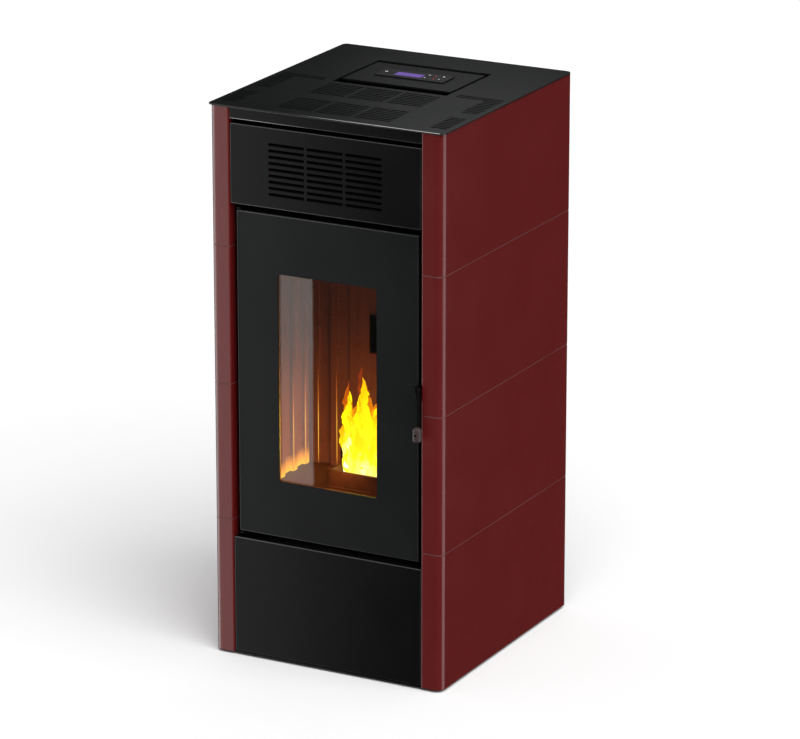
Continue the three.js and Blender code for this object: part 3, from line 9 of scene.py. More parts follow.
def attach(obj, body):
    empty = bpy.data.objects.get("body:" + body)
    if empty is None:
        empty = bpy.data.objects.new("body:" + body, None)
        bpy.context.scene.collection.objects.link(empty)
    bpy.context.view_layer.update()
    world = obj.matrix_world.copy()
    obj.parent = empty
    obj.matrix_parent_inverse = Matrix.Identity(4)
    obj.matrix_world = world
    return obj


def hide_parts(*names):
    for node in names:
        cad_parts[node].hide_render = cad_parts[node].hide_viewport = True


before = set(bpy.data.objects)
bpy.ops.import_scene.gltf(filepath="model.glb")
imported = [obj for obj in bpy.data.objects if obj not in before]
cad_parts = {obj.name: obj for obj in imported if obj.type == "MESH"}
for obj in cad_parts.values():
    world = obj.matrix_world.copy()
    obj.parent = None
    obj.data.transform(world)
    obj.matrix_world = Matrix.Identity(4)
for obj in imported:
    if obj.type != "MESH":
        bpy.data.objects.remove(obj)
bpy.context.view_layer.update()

scene = bpy.context.scene
mm = 0.001  # shapes are drawn in millimetres and scaled once, when they are placed

print("frame loaded:", len(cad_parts), "nodes")


# camera and view

view = {
    "azimuth": 27.98,  # degrees to the right of straight ahead
    "elevation": 17.61,
    "distance": 8.4357,
    "lens": 207.45,
    "target": (0.01283, 0.00681, 0.5061),
    "sensor": 36,
    "clipEnd": 100,
}


def aimAt(thing, target):
    direction = Vector(target) - thing.location
    thing.rotation_euler = direction.to_track_quat("-Z", "Y").to_euler()


def makeCamera():
    camera = bpy.data.objects.new("photoCamera", bpy.data.cameras.new("photoCamera"))
    scene.collection.objects.link(camera)
    camera.data.lens = view["lens"]
    camera.data.sensor_width = view["sensor"]
    camera.data.sensor_fit = "HORIZONTAL"
    camera.data.clip_end = view["clipEnd"]
    turn = math.radians(view["azimuth"])
    rise = math.radians(view["elevation"])
    back = Vector((math.sin(turn) * math.cos(rise), -math.cos(turn) * math.cos(rise), math.sin(rise)))
    camera.location = Vector(view["target"]) + back * view["distance"]
    aimAt(camera, view["target"])
    scene.camera = camera


makeCamera()


# node helpers for the finishes

def feed(tree, node, values):
    # a socket takes another node's output, a number or a colour
    for socket, value in values.items():
        if isinstance(value, bpy.types.NodeSocket):
            tree.links.new(value, node.inputs[socket])
        else:
            node.inputs[socket].default_value = value


def newNode(tree, kind, values):
    node = tree.nodes.new(f"ShaderNode{kind}")
    feed(tree, node, values)
    return node


def newFinish(name):
    finish = bpy.data.materials.new(name)
    finish.use_nodes = True
    tree = finish.node_tree
    shader = next(node for node in tree.nodes if node.type == "BSDF_PRINCIPLED")
    where = tree.nodes.new("ShaderNodeTexCoord").outputs["Object"]
    return finish, tree, shader, where


def stretched(tree, where, scale, turn=(0, 0, 0)):
    return newNode(tree, "Mapping", {"Vector": where, "Scale": scale, "Rotation": turn}).outputs["Vector"]


def cloud(tree, where, scale, detail=3.0, rough=0.5):
    values = {"Vector": where, "Scale": scale, "Detail": detail, "Roughness": rough}
    return newNode(tree, "TexNoise", values).outputs[0]


def cells(tree, where, scale, output="Distance"):
    return newNode(tree, "TexVoronoi", {"Vector": where, "Scale": scale}).outputs[output]


def remap(tree, value, fromLow, fromHigh, toLow, toHigh):
    values = {"Value": value, "From Min": fromLow, "From Max": fromHigh, "To Min": toLow, "To Max": toHigh}
    return newNode(tree, "MapRange", values).outputs["Result"]


def ramp(tree, value, stops):
    node = newNode(tree, "ValToRGB", {"Fac": value})
    bar = node.color_ramp
    while len(bar.elements) < len(stops):
        bar.elements.new(0.5)
    for element, (spot, colour) in zip(bar.elements, stops):
        element.position = spot
        element.color = (*colour, 1)
    return node.outputs["Color"]


def coordinate(tree, where, axis):
    return newNode(tree, "SeparateXYZ", {"Vector": where}).outputs[axis]


def combine(tree, kind, first, second):
    node = newNode(tree, "Math", {0: first, 1: second})
    node.operation = kind
    return node.outputs["Value"]


def weighted(tree, first, firstShare, second, secondShare):
    return combine(tree, "ADD", combine(tree, "MULTIPLY", first, firstShare),
                   combine(tree, "MULTIPLY", second, secondShare))


def bumps(tree, shader, reliefs):
    # each relief is (height, strength, distance in metres); they add up
    before = None
    for relief, strength, distance in reliefs:
        node = newNode(tree, "Bump", {"Height": relief, "Strength": strength, "Distance": distance})
        if before is not None:
            tree.links.new(before, node.inputs["Normal"])
        before = node.outputs["Normal"]
    tree.links.new(before, shader.inputs["Normal"])


# finishes

# heights in metres: where soot darkens the boards, where their painted glow fades and where the flame burns
fireHeights = {"soot": (0.34, 0.72), "glow": (0.318, 0.56), "flame": (0.315, 0.51)}
# colours of the fire light painted over the glow's height: a faint painted glow on all boards, a painted lit
# foot, painted highlight lines on the ribs' edges
paintedFaintGlow = [(0.0, (0.062, 0.019, 0.008)), (0.4, (0.034, 0.011, 0.006)), (1.0, (0.015, 0.0065, 0.0055))]
paintedFireLitFoot = [(0.0, (1.0, 0.62, 0.03)), (0.05, (0.85, 0.36, 0.02)), (0.13, (0.10, 0.030, 0.006)),
           (1.0, (0.004, 0.001, 0.0005))]
paintedRibHighlight = [(0.0, (0.30, 0.10, 0.01)), (0.08, (1.0, 0.55, 0.05)), (0.35, (1.0, 0.66, 0.08)),
           (0.52, (0.60, 0.22, 0.02)), (0.75, (0.06, 0.018, 0.003)), (1.0, (0.004, 0.001, 0.0005))]
edgeGlow = {"from": 0.0002, "to": 0.0011}  # how far a rib's bright line fades out, in metres


def paintFinish(name, dark, light, roughness, grain, grainStrength, specular):
    finish, tree, shader, where = newFinish(name)
    broad = cloud(tree, where, 9, 3)
    fine = cloud(tree, where, grain, 2)
    orangePeel = cloud(tree, where, grain * 0.35, 2)
    tone = weighted(tree, broad, 0.55, fine, 0.45)
    feed(tree, shader, {
        "Base Color": ramp(tree, tone, [(0.3, dark), (0.7, light)]),
        "Roughness": remap(tree, broad, 0.3, 0.7, roughness - 0.025, roughness + 0.025),
        "Specular IOR Level": specular,
    })
    bumps(tree, shader, [(fine, grainStrength, 0.0001), (orangePeel, grainStrength * 0.25, 0.0003)])
    return finish


def paintedHighlightFinish(name, plain, worn, bright):
    # a rounded edge that is black at the first place along x and turns to a painted pale highlight at the
    # second, in place of a gloss reflection along the edge
    finish, tree, shader, where = newFinish(name)
    along = remap(tree, coordinate(tree, where, "X"), plain, worn, 0, 1)
    highlightShare = combine(tree, "MULTIPLY", along, remap(tree, cloud(tree, where, 60, 3), 0.3, 0.7, 0.75, 1.0))
    feed(tree, shader, {
        "Base Color": ramp(tree, highlightShare, [(0.0, (0.014, 0.0145, 0.0145)), (1.0, bright)]),
        "Roughness": remap(tree, highlightShare, 0, 1, 0.38, 0.30),
        "Specular IOR Level": 0.8,
    })
    bumps(tree, shader, [(cloud(tree, where, 900, 2), 0.06, 0.0001)])
    return finish


def sheetMetalFinish(name, dark, light, roughness, brushed=None):
    # zinc shows spangles, a brushed sheet shows streaks
    finish, tree, shader, where = newFinish(name)
    if brushed:
        streaks = cloud(tree, stretched(tree, where, brushed), 1.0, 4, 0.65)
    else:
        streaks = cells(tree, where, 95, "Color")
    tone = weighted(tree, streaks, 0.6, cloud(tree, where, 14, 4), 0.4)
    feed(tree, shader, {
        "Base Color": ramp(tree, tone, [(0.25, dark), (0.75, light)]),
        "Roughness": remap(tree, tone, 0.2, 0.8, roughness + 0.08, roughness - 0.06),
        "Metallic": 0.6,
    })
    bumps(tree, shader, [(streaks, 0.08, 0.0002), (cloud(tree, where, 900, 2), 0.05, 0.0001)])
    return finish


def castFinish(name, dark, light, roughness, metallic, pits):
    finish, tree, shader, where = newFinish(name)
    grain = cloud(tree, where, 700, 4, 0.7)
    tone = weighted(tree, cloud(tree, where, 30, 5, 0.6), 0.6, grain, 0.4)
    feed(tree, shader, {
        "Base Color": ramp(tree, tone, [(0.3, dark), (0.72, light)]),
        "Roughness": remap(tree, grain, 0.3, 0.7, roughness - 0.1, roughness + 0.1),
        "Metallic": metallic,
        "Specular IOR Level": 0.15,
    })
    bumps(tree, shader, [(grain, 0.35, 0.0004), (cells(tree, where, pits), 0.12, 0.0006)])
    return finish


def linerFinish(name, glow, axis="Y", lines=()):
    # pressed fire board, darkened by soot towards the top; its emission paints the fire's light on its foot
    # and painted highlights along its ribs' edges
    finish, tree, shader, where = newFinish(name)
    flakes = cells(tree, where, 420, "Color")
    mottled = cloud(tree, where, 26, 5, 0.65)
    level = coordinate(tree, where, "Z")
    soot = remap(tree, level, *fireHeights["soot"], 0.0, 0.35)
    pattern = weighted(tree, flakes, 0.06, mottled, 0.2)
    tone = combine(tree, "SUBTRACT", combine(tree, "ADD", pattern, 0.38), soot)
    browns = [(0.0, (0.038, 0.018, 0.013)), (0.45, (0.058, 0.026, 0.017)), (0.85, (0.088, 0.042, 0.027))]
    rise = remap(tree, level, *fireHeights["glow"], 0.0, 1.0)
    light = ramp(tree, rise, glow)
    across = coordinate(tree, where, axis)
    for line in lines:
        away = combine(tree, "ABSOLUTE", combine(tree, "SUBTRACT", across, line), 0.0)
        near = remap(tree, away, edgeGlow["from"], edgeGlow["to"], 1.0, 0.0)
        mix = newNode(tree, "Mix", {})
        mix.data_type = "RGBA"
        feed(tree, mix, {0: near, 6: light, 7: ramp(tree, rise, paintedRibHighlight)})
        light = mix.outputs[2]
    feed(tree, shader, {
        "Base Color": ramp(tree, tone, browns),
        "Roughness": remap(tree, mottled, 0.3, 0.7, 0.24, 0.36),
        "Emission Color": light,
        "Emission Strength": 1.2,
        "Specular IOR Level": 0.06,
    })
    bumps(tree, shader, [(mottled, 0.05, 0.0005)])
    return finish


def ropeFinish():
    # braided glass rope: two crossing sets of strands
    finish, tree, shader, where = newFinish("braidedRope")
    strands = []
    for turn in (math.radians(45), math.radians(-45)):
        slanted = stretched(tree, where, (1, 1, 1), (0, turn, 0))
        wave = newNode(tree, "TexWave", {"Vector": slanted, "Scale": 190, "Distortion": 0.6})
        strands.append(wave.outputs["Fac"])
    braid = combine(tree, "MULTIPLY", *strands)
    feed(tree, shader, {
        "Base Color": ramp(tree, braid, [(0.0, (0.012, 0.012, 0.012)), (0.8, (0.07, 0.07, 0.068))]),
        "Roughness": 0.92,
    })
    bumps(tree, shader, [(braid, 0.7, 0.0008), (cloud(tree, where, 1500, 3), 0.3, 0.0002)])
    return finish


def glassFinish():
    finish, tree, shader, where = newFinish("clearCeramicGlass")
    haze = cloud(tree, where, 18, 4)
    feed(tree, shader, {
        "Base Color": ramp(tree, haze, [(0.3, (0.90, 0.77, 0.66)), (0.7, (0.95, 0.84, 0.74))]),
        "Roughness": remap(tree, haze, 0.4, 0.8, 0.0, 0.004),
        "Transmission Weight": 1.0,
        "IOR": 1.45,
    })
    return finish


def displayFinish():
    # a lit dot-matrix screen: rows of character cells
    finish, tree, shader, where = newFinish("litScreen")
    grid = newNode(tree, "TexBrick", {
        "Vector": where, "Scale": 1.0, "Brick Width": 0.0031, "Row Height": 0.0075, "Mortar Size": 0.0004,
        "Color1": (0.168, 0.092, 0.400, 1), "Color2": (0.142, 0.075, 0.355, 1),
        "Mortar": (0.114, 0.056, 0.300, 1),
    })
    grid.offset = 0.0
    lit = grid.outputs["Color"]
    feed(tree, shader, {
        "Base Color": lit, "Emission Color": lit, "Emission Strength": 0.10, "Roughness": 0.35,
        "Specular IOR Level": 0.2,
    })
    return finish


def circuitFinish():
    finish, tree, shader, where = newFinish("circuitBoardGreen")
    tracks = newNode(tree, "TexBrick", {
        "Vector": stretched(tree, where, (1, 1, 1), (0, math.radians(90), 0)), "Scale": 130,
        "Mortar Size": 0.012, "Color1": (0.012, 0.085, 0.03, 1), "Color2": (0.016, 0.11, 0.036, 1),
        "Mortar": (0.10, 0.22, 0.06, 1),
    })
    feed(tree, shader, {
        "Base Color": tracks.outputs["Color"],
        "Roughness": remap(tree, cloud(tree, where, 300), 0.3, 0.7, 0.35, 0.5),
    })
    bumps(tree, shader, [(tracks.outputs["Fac"], 0.2, 0.0002)])
    return finish


def flameFinish(name, stops, strength, solid, ragged):
    # lit gas: the colour goes by height, and holes open towards the tips
    finish, tree, shader, where = newFinish(name)
    tree.nodes.remove(shader)
    output = next(node for node in tree.nodes if node.type == "OUTPUT_MATERIAL")
    licks = cloud(tree, stretched(tree, where, (60, 60, 22)), 1.0, 4, 0.6)
    level = remap(tree, coordinate(tree, where, "Z"), *fireHeights["flame"], 0.0, 1.0)
    mixed = combine(tree, "ADD", level, combine(tree, "MULTIPLY", combine(tree, "SUBTRACT", licks, 0.5), 0.7))
    thin = combine(tree, "SUBTRACT", solid, combine(tree, "MULTIPLY", mixed, ragged))
    shown = newNode(tree, "Clamp", {"Value": thin}).outputs["Result"]
    clear = newNode(tree, "BsdfTransparent", {}).outputs["BSDF"]
    glow = newNode(tree, "Emission", {"Strength": strength, "Color": ramp(tree, mixed, stops)})
    blend = newNode(tree, "MixShader", {"Fac": shown, 1: clear, 2: glow.outputs["Emission"]})
    feed(tree, output, {"Surface": blend.outputs["Shader"]})
    return finish


def emberFinish():
    finish, tree, shader, where = newFinish("glowingPellets")
    heat = cloud(tree, where, 55, 4, 0.7)
    crust = cloud(tree, where, 900, 3)
    hot = [(0.38, (0.0, 0.0, 0.0)), (0.5, (0.9, 0.12, 0.01)), (0.66, (1.0, 0.62, 0.12))]
    feed(tree, shader, {
        "Base Color": ramp(tree, crust, [(0.35, (0.012, 0.010, 0.009)), (0.7, (0.11, 0.10, 0.09))]),
        "Emission Color": ramp(tree, heat, hot),
        "Emission Strength": 2.6,
        "Roughness": 0.85,
    })
    bumps(tree, shader, [(crust, 0.5, 0.0005)])
    return finish


def plainGlow(name, colour, strength):
    finish, tree, shader, where = newFinish(name)
    duller = tuple(0.9 * c for c in colour)
    feed(tree, shader, {
        "Base Color": ramp(tree, cloud(tree, where, 2500, 1), [(0.3, duller), (0.7, colour)]),
        "Emission Color": (*colour, 1), "Emission Strength": strength, "Roughness": 0.4,
    })
    return finish


# paint: name, dark, light, roughness, grain, the grain's strength, specular
finishes = {
    "red_casing": paintFinish(
        "darkRedEnamel", (0.101, 0.0062, 0.0060), (0.118, 0.0082, 0.0080), 0.24, 950, 0.05, 0.40),
    "black_textured_steel": paintFinish(
        "texturedBlackPaint", (0.0050, 0.0055, 0.0059), (0.0078, 0.0086, 0.0091), 0.42, 1700, 0.30, 0.13),
    "black_satin_steel": paintFinish(
        "satinBlackPaint", (0.0012, 0.0013, 0.0013), (0.0024, 0.0025, 0.0025), 0.34, 1100, 0.14, 0.15),
    "zinc_steel": sheetMetalFinish("galvanisedSteel", (0.33, 0.34, 0.35), (0.46, 0.47, 0.48), 0.42),
    "stainless_steel": sheetMetalFinish(
        "brushedStainless", (0.42, 0.41, 0.39), (0.58, 0.57, 0.55), 0.30, (30, 30, 900)),
    "aluminium": castFinish("castAluminium", (0.34, 0.35, 0.36), (0.50, 0.51, 0.52), 0.45, 1.0, 500),
    "cast_iron": castFinish("sootyCastIron", (0.030, 0.017, 0.012), (0.080, 0.045, 0.030), 0.55, 0.25, 260),
    "fire_liner": linerFinish("fireBoard", paintedFaintGlow),
    "ceramic_glass": glassFinish(),
    "seal_rope": ropeFinish(),
    "black_plastic": paintFinish(
        "mouldedBlackPlastic", (0.0085, 0.0086, 0.0092), (0.0130, 0.0130, 0.0140), 0.42, 1300, 0.18, 0.2),
    "key_cap": paintFinish(
        "darkKeyPlastic", (0.014, 0.014, 0.015), (0.024, 0.024, 0.026), 0.45, 1500, 0.12, 0.35),
    "lit_display": displayFinish(),
    "circuit_board": circuitFinish(),
}
# painted pale highlights on the top plate's front edge and the crossbar's lower edge, brightest where the
# gloss would catch the light
plateFrontHighlight = paintedHighlightFinish("plateFrontHighlight", -0.05, 0.08, (0.62, 0.63, 0.62))
barLowerHighlight = paintedHighlightFinish("barLowerHighlight", -0.03, -0.13, (0.40, 0.41, 0.41))
leverSteel = paintFinish("leverSteel", (0.030, 0.019, 0.018), (0.052, 0.034, 0.032), 0.5, 500, 0.15, 0.3)
# lighter black for rounded edges: its lighter colour is a painted highlight, its higher specular is real
# gloss
lightEdgeHighlight = paintFinish(
    "blackEdgePaintedHighlight", (0.010, 0.0105, 0.0105), (0.018, 0.0185, 0.0185), 0.34, 900, 0.06, 0.8)
# paler red for the seam rims: a painted highlight, as if the folded edges caught the light
seamHighlightRed = paintFinish("paintedSeamHighlight", (0.13, 0.046, 0.046), (0.16, 0.058, 0.058), 0.40, 900, 0.05, 0.3)
# the left and back boards carry the painted lit foot and painted highlight lines at their ribs' edges
leftBoard = linerFinish("fireBoardLeft", paintedFireLitFoot, "Y", (-0.1024, -0.0574))
backBoard = linerFinish("fireBoardBack", paintedFaintGlow, "X", (-0.1336, -0.0948))
embers = emberFinish()
# the white key symbols are printed marks given emission, so their glow is painted light; the red indicators
# are real lamps
keyMarksPaintedGlow = plainGlow("whiteKeyMark", (0.72, 0.73, 0.76), 0.35)
redLamps = plainGlow("redIndicator", (0.55, 0.02, 0.02), 0.5)
print("finishes made:", len(finishes))


# mesh helpers, all in millimetres

limits = {"drawn": 35, "cad": 50, "fold": 60}  # degrees between two faces that make a sharp edge
close = 0.01  # two places this near are the same
tiny = 0.001  # an edge this short goes
weld = 0.000004  # in metres: corners of the CAD mesh this near are one
flat = 0.5  # degrees: faces of the CAD mesh this even are one


def vertsOf(geom):
    return [part for part in geom if isinstance(part, bmesh.types.BMVert)]


def edgesOf(geom):
    return [part for part in geom if isinstance(part, bmesh.types.BMEdge)]


def shift(bm, vec, verts=None):
    bmesh.ops.translate(bm, vec=vec, verts=verts or bm.verts)


def turn(bm, degrees, axis, verts):
    matrix = Matrix.Rotation(math.radians(degrees), 3, axis)
    bmesh.ops.rotate(bm, cent=(0, 0, 0), matrix=matrix, verts=verts)


def bends(bm, angle, chosen=None):
    limit = math.radians(angle)
    return [edge for edge in (chosen or bm.edges)
            if len(edge.link_faces) == 2 and edge.calc_face_angle(0) > limit]


def bevel(bm, geom, width, segments, affect="EDGES", clamp=True):
    return bmesh.ops.bevel(bm, geom=geom, offset=width, offset_type="OFFSET", affect=affect,
                           segments=segments, profile=0.5, material=-1, clamp_overlap=clamp)["faces"]


def slab(bm, x0, x1, y0, y1, z0, z1):
    verts = bmesh.ops.create_cube(bm, size=1.0)["verts"]
    bmesh.ops.scale(bm, vec=(x1 - x0, y1 - y0, z1 - z0), verts=verts)
    shift(bm, ((x0 + x1) / 2, (y0 + y1) / 2, (z0 + z1) / 2), verts)
    return verts


def roundEdges(bm, width, segments=2, angle=limits["drawn"], chosen=None):
    bevel(bm, bends(bm, angle, chosen), width, segments)
    bmesh.ops.dissolve_degenerate(bm, dist=tiny, edges=bm.edges)


def roundFolds(bm, width, segments):
    # rounds the outer folds; the rounded strips take the piece's second material, a lighter and glossier edge
    # paint whose lighter colour is a painted highlight
    for strip in bevel(bm, bends(bm, limits["fold"]), width, segments):
        strip.material_index = 1


def perforated(bm, width, depth, holes, holeRadius, cornerRadius, holeSteps=3):
    # a flat sheet, centred, with rectangular holes (x0, x1, y0, y1) whose corners are rounded
    sheet = bmesh.ops.create_grid(bm, x_segments=1, y_segments=1, size=0.5)["verts"]
    bmesh.ops.scale(bm, vec=(width, depth, 1), verts=sheet)
    for axis, direction in ((0, (1, 0, 0)), (1, (0, 1, 0))):
        for cut in sorted({round(hole[2 * axis + end], 4) for hole in holes for end in (0, 1)}):
            at = Vector((0, 0, 0))
            at[axis] = cut
            bmesh.ops.bisect_plane(bm, geom=bm.verts[:] + bm.edges[:] + bm.faces[:], dist=0.0001,
                                   plane_co=at, plane_no=direction)
    inside = []
    for face in bm.faces:
        middle = face.calc_center_median()
        if any(x0 < middle.x < x1 and y0 < middle.y < y1 for x0, x1, y0, y1 in holes):
            inside.append(face)
    bmesh.ops.delete(bm, geom=inside, context="FACES")
    bmesh.ops.dissolve_limit(bm, angle_limit=math.radians(2 * flat), verts=bm.verts, edges=bm.edges)
    corners = {(round(x, 2), round(y, 2)) for x0, x1, y0, y1 in holes for x in (x0, x1) for y in (y0, y1)}
    rim = [vert for vert in bm.verts if (round(vert.co.x, 2), round(vert.co.y, 2)) in corners]
    bevel(bm, rim, holeRadius, holeSteps, "VERTICES")
    if cornerRadius:
        outer = [vert for vert in bm.verts
                 if abs(abs(vert.co.x) - width / 2) < close and abs(abs(vert.co.y) - depth / 2) < close]
        bevel(bm, outer, cornerRadius, 8, "VERTICES")


def thicken(bm, thickness):
    # pushes a flat sheet up from its plane and closes it
    grown = bmesh.ops.extrude_face_region(bm, geom=bm.faces[:], use_keep_orig=True)["geom"]
    shift(bm, (0, 0, thickness), vertsOf(grown))
    bmesh.ops.recalc_face_normals(bm, faces=bm.faces)


def standUp(bm, y, z):
    # turns a flat sheet upright, to the front's place
    turn(bm, 90, "X", bm.verts)
    shift(bm, (0, y, z))


def faceForward(bm, y):
    bmesh.ops.recalc_face_normals(bm, faces=bm.faces)
    front = next(face for face in bm.faces if abs(face.calc_center_median().y - y) < close)
    if front.normal.y > 0:
        bmesh.ops.reverse_faces(bm, faces=bm.faces)
    bm.normal_update()


def fromNode(node):
    bm = bmesh.new()
    bm.from_mesh(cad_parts[node].data)
    bmesh.ops.remove_doubles(bm, verts=bm.verts, dist=weld)
    bmesh.ops.scale(bm, vec=(1 / mm, 1 / mm, 1 / mm), verts=bm.verts)
    bmesh.ops.dissolve_limit(bm, angle_limit=math.radians(flat), verts=bm.verts, edges=bm.edges)
    return bm


def place(name, bm, slot, body="stove", replaced=(), smoothBelow=38, extra=()):
    bmesh.ops.scale(bm, vec=(mm, mm, mm), verts=bm.verts)
    mesh = bpy.data.meshes.new(name)
    bm.to_mesh(mesh)
    bm.free()
    mesh.polygons.foreach_set("use_smooth", [True] * len(mesh.polygons))
    mesh.set_sharp_from_angle(angle=math.radians(smoothBelow))
    mesh.materials.append(finishes[slot] if slot in finishes else None)
    for finish in extra:
        mesh.materials.append(finish)
    piece = bpy.data.objects.new(name, mesh)
    scene.collection.objects.link(piece)
    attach(piece, body)
    if replaced:
        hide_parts(*replaced)
    return piece


def evenShading(piece):
    piece.modifiers.new("EvenShading", "WEIGHTED_NORMAL").keep_sharp = True
    return piece


def foldedSheet(piece, thickness, edge, steps):
    # gives a folded outline its wall, inwards, and takes the sharpness off the cut edges
    wall = piece.modifiers.new("Wall", "SOLIDIFY")
    wall.thickness = thickness * mm
    wall.offset = -1
    wall.use_even_offset = True
    rim = piece.modifiers.new("CutEdge", "BEVEL")
    rim.width = edge * mm
    rim.segments = steps
    rim.limit_method = "ANGLE"
    rim.angle_limit = math.radians(limits["cad"])
    evenShading(piece)


# folded red casings: four tiers up each side

casing = {
    "halfWidth": 234, "halfDepth": 252.5, "base": 5, "height": 1030, "tiers": 4, "seam": 2,
    "cornerRadius": 16, "flange": 41, "frontReturn": 22, "rearReturn": 15, "sheet": 2,
    "foldRadius": 2.6, "edge": 0.5, "edgeSteps": 3, "rimInset": 0.5, "rimRise": 1.9, "foldSteps": 4,
    "cornerSteps": 14,
}


def foldOutline(bm, side, inset, low, tall):
    # the sheet's outer outline from the rear return round to the front return, pushed up; it faces outwards
    c = casing
    x, y = c["halfWidth"], c["halfDepth"]
    flangeX = x - c["flange"]
    fold = [(x - c["rearReturn"], y - inset), (x - inset, y - inset), (x - inset, inset - y),
            (flangeX + inset, inset - y), (flangeX + inset, c["frontReturn"] - y)]
    verts = [bm.verts.new((side * u, v, low)) for u, v in fold]
    edges = [bm.edges.new(pair) for pair in zip(verts, verts[1:])]
    raised = bmesh.ops.extrude_edge_only(bm, edges=edges)["geom"]
    shift(bm, (0, 0, tall), vertsOf(raised))
    walls = list(dict.fromkeys(face for vert in verts for face in vert.link_faces))
    bm.normal_update()
    if max(walls, key=lambda face: face.calc_area()).normal.x * side < 0:
        bmesh.ops.reverse_faces(bm, faces=walls)
    upright = [edge for edge in bm.edges
               if len(edge.link_faces) == 2 and all(face in walls for face in edge.link_faces)]
    corner = []
    for edge in upright:
        at = edge.verts[0].co
        if abs(abs(at.x) - x + inset) < close and abs(at.y + y - inset) < close:
            corner.append(edge)
    small = [edge for edge in upright if edge not in corner]
    bevel(bm, small, c["foldRadius"], c["foldSteps"])
    bevel(bm, corner, c["cornerRadius"] - inset, c["cornerSteps"])


def makeCasing(side, tier, tierName):
    c = casing
    tall = (c["height"] - (c["tiers"] - 1) * c["seam"]) / c["tiers"]
    low = c["base"] + tier * (tall + c["seam"])
    bm = bmesh.new()
    foldOutline(bm, side, 0, low, tall)
    if tier < c["tiers"] - 1:
        # the set-in rim that the next casing stands on; it is painted a paler red, so the seam shows as a
        # thin painted highlight line
        foldOutline(bm, side, c["rimInset"], low + tall, c["rimRise"])
        for face in bm.faces:
            if face.calc_center_median().z > low + tall:
                face.material_index = 1
    sideName = "left" if side < 0 else "right"
    name = f"{sideName}_casing_{tierName}"
    piece = place(f"{name}_folded", bm, "red_casing", replaced=[name], extra=[seamHighlightRed])
    foldedSheet(piece, c["sheet"], c["edge"], c["edgeSteps"])


for side in (-1, 1):
    for tier, tierName in enumerate(["bottom", "lower", "upper", "top"]):
        makeCasing(side, tier, tierName)
print("casings folded")


# slotted top plate

topPlate = {
    "width": 472, "depth": 509, "bottom": 1035.3, "thickness": 3, "radius": 18, "edge": 0.7,
    "slotWidth": 72, "slotHeight": 5.2, "slotRadius": 2.4, "pitchX": 77.5, "pitch": 10.4, "rows": 8,
    "frontStart": -222.5, "rearStart": -104.5, "sideOuter": 226, "sideInner": 192, "longInner": 134,
    "rearRows": 11, "longRows": 2, "opening": (-116.5, 116.5, -11.5, 167.5), "rimShare": 0.965,
}


def topSlots():
    t = topPlate
    slots = []
    for start in (t["frontStart"], t["rearStart"]):
        for column in (-1, 0, 1):
            x = column * t["pitchX"] - t["slotWidth"] / 2
            for row in range(t["rows"]):
                y = start + row * t["pitch"]
                slots.append((x, x + t["slotWidth"], y, y + t["slotHeight"]))
    for start, rows in ((t["frontStart"], t["rows"]), (t["rearStart"], t["rearRows"])):
        for row in range(rows):
            y = start + row * t["pitch"]
            isLong = row >= t["rearRows"] - t["longRows"]
            inner = t["longInner"] if isLong else t["sideInner"]
            slots.append((inner, t["sideOuter"], y, y + t["slotHeight"]))
            slots.append((-t["sideOuter"], -inner, y, y + t["slotHeight"]))
    return slots


def makeTopPlate():
    t = topPlate
    bm = bmesh.new()
    holes = topSlots() + [t["opening"]]
    perforated(bm, t["width"], t["depth"], holes, t["slotRadius"], t["radius"])
    thicken(bm, t["thickness"])
    shift(bm, (0, 0, t["bottom"]))
    # only the plate's own rim is rounded: the punched slots keep their crisp edges
    rim = [edge for edge in bends(bm, limits["fold"])
           if all(max(abs(v.co.x) * 2 / t["width"], abs(v.co.y) * 2 / t["depth"]) > t["rimShare"]
                  for v in edge.verts)]
    strips = bevel(bm, rim, t["edge"], 2, clamp=False)
    bm.normal_update()
    # the top front strips take the painted pale highlight, the other strips the lighter edge paint with its
    # painted highlight
    for strip in strips:
        onFront = strip.calc_center_median().y < -t["depth"] / 2 + t["edge"]
        strip.material_index = 2 if onFront and strip.normal.z > 0.1 else 1
    bmesh.ops.dissolve_degenerate(bm, dist=tiny, edges=bm.edges)
    evenShading(place("slotted_top_plate", bm, "black_textured_steel", replaced=["top_plate"],
                      extra=[lightEdgeHighlight, plateFrontHighlight]))


makeTopPlate()
print("top plate slotted")


# front panels: crossbar, grille with pressed louvres, lower panel

frontPanels = {
    "halfWidth": 191.7, "front": -251, "back": -215, "sheet": 2, "fold": 1.6,
    "grilleBottom": 859, "grilleTop": 1006.5, "lowerBottom": 8.3, "lowerTop": 230,
    "slotTop": 979, "slotHeight": 5.6, "slotPitch": 11.4, "slotRows": 9, "slotWidth": 72, "slotRadius": 1.2,
    "pitchX": 77.5, "edge": 0.3, "louvreDepth": 6, "louvreLean": 38, "louvreThickness": 1.0,
    "louvreGap": 0.6, "louvreOverlap": 0.4, "louvreDrop": 1.1, "louvreEdge": 0.25,
}
crossbar = {"halfWidth": 192.7, "front": -250.5, "depth": 12, "bottom": 1014.5, "top": 1035, "edge": 1.2}


def makeTray(name, node, bottom, top, holes):
    p = frontPanels
    bm = bmesh.new()
    perforated(bm, 2 * p["halfWidth"], top - bottom, holes, p["slotRadius"], 0, 2)
    standUp(bm, p["front"], (top + bottom) / 2)

    def isOnRim(at):
        return min(abs(abs(at.x) - p["halfWidth"]), abs(at.z - top), abs(at.z - bottom)) < close

    rim = [edge for edge in bm.edges
           if len(edge.link_faces) == 1 and all(isOnRim(vert.co) for vert in edge.verts)]
    back = bmesh.ops.extrude_edge_only(bm, edges=rim)["geom"]
    shift(bm, (0, p["back"] - p["front"], 0), vertsOf(back))
    faceForward(bm, p["front"])
    roundFolds(bm, p["fold"], 3)
    foldedSheet(place(name, bm, "black_satin_steel", replaced=[node], extra=[lightEdgeHighlight]),
                p["sheet"], p["edge"], 1)


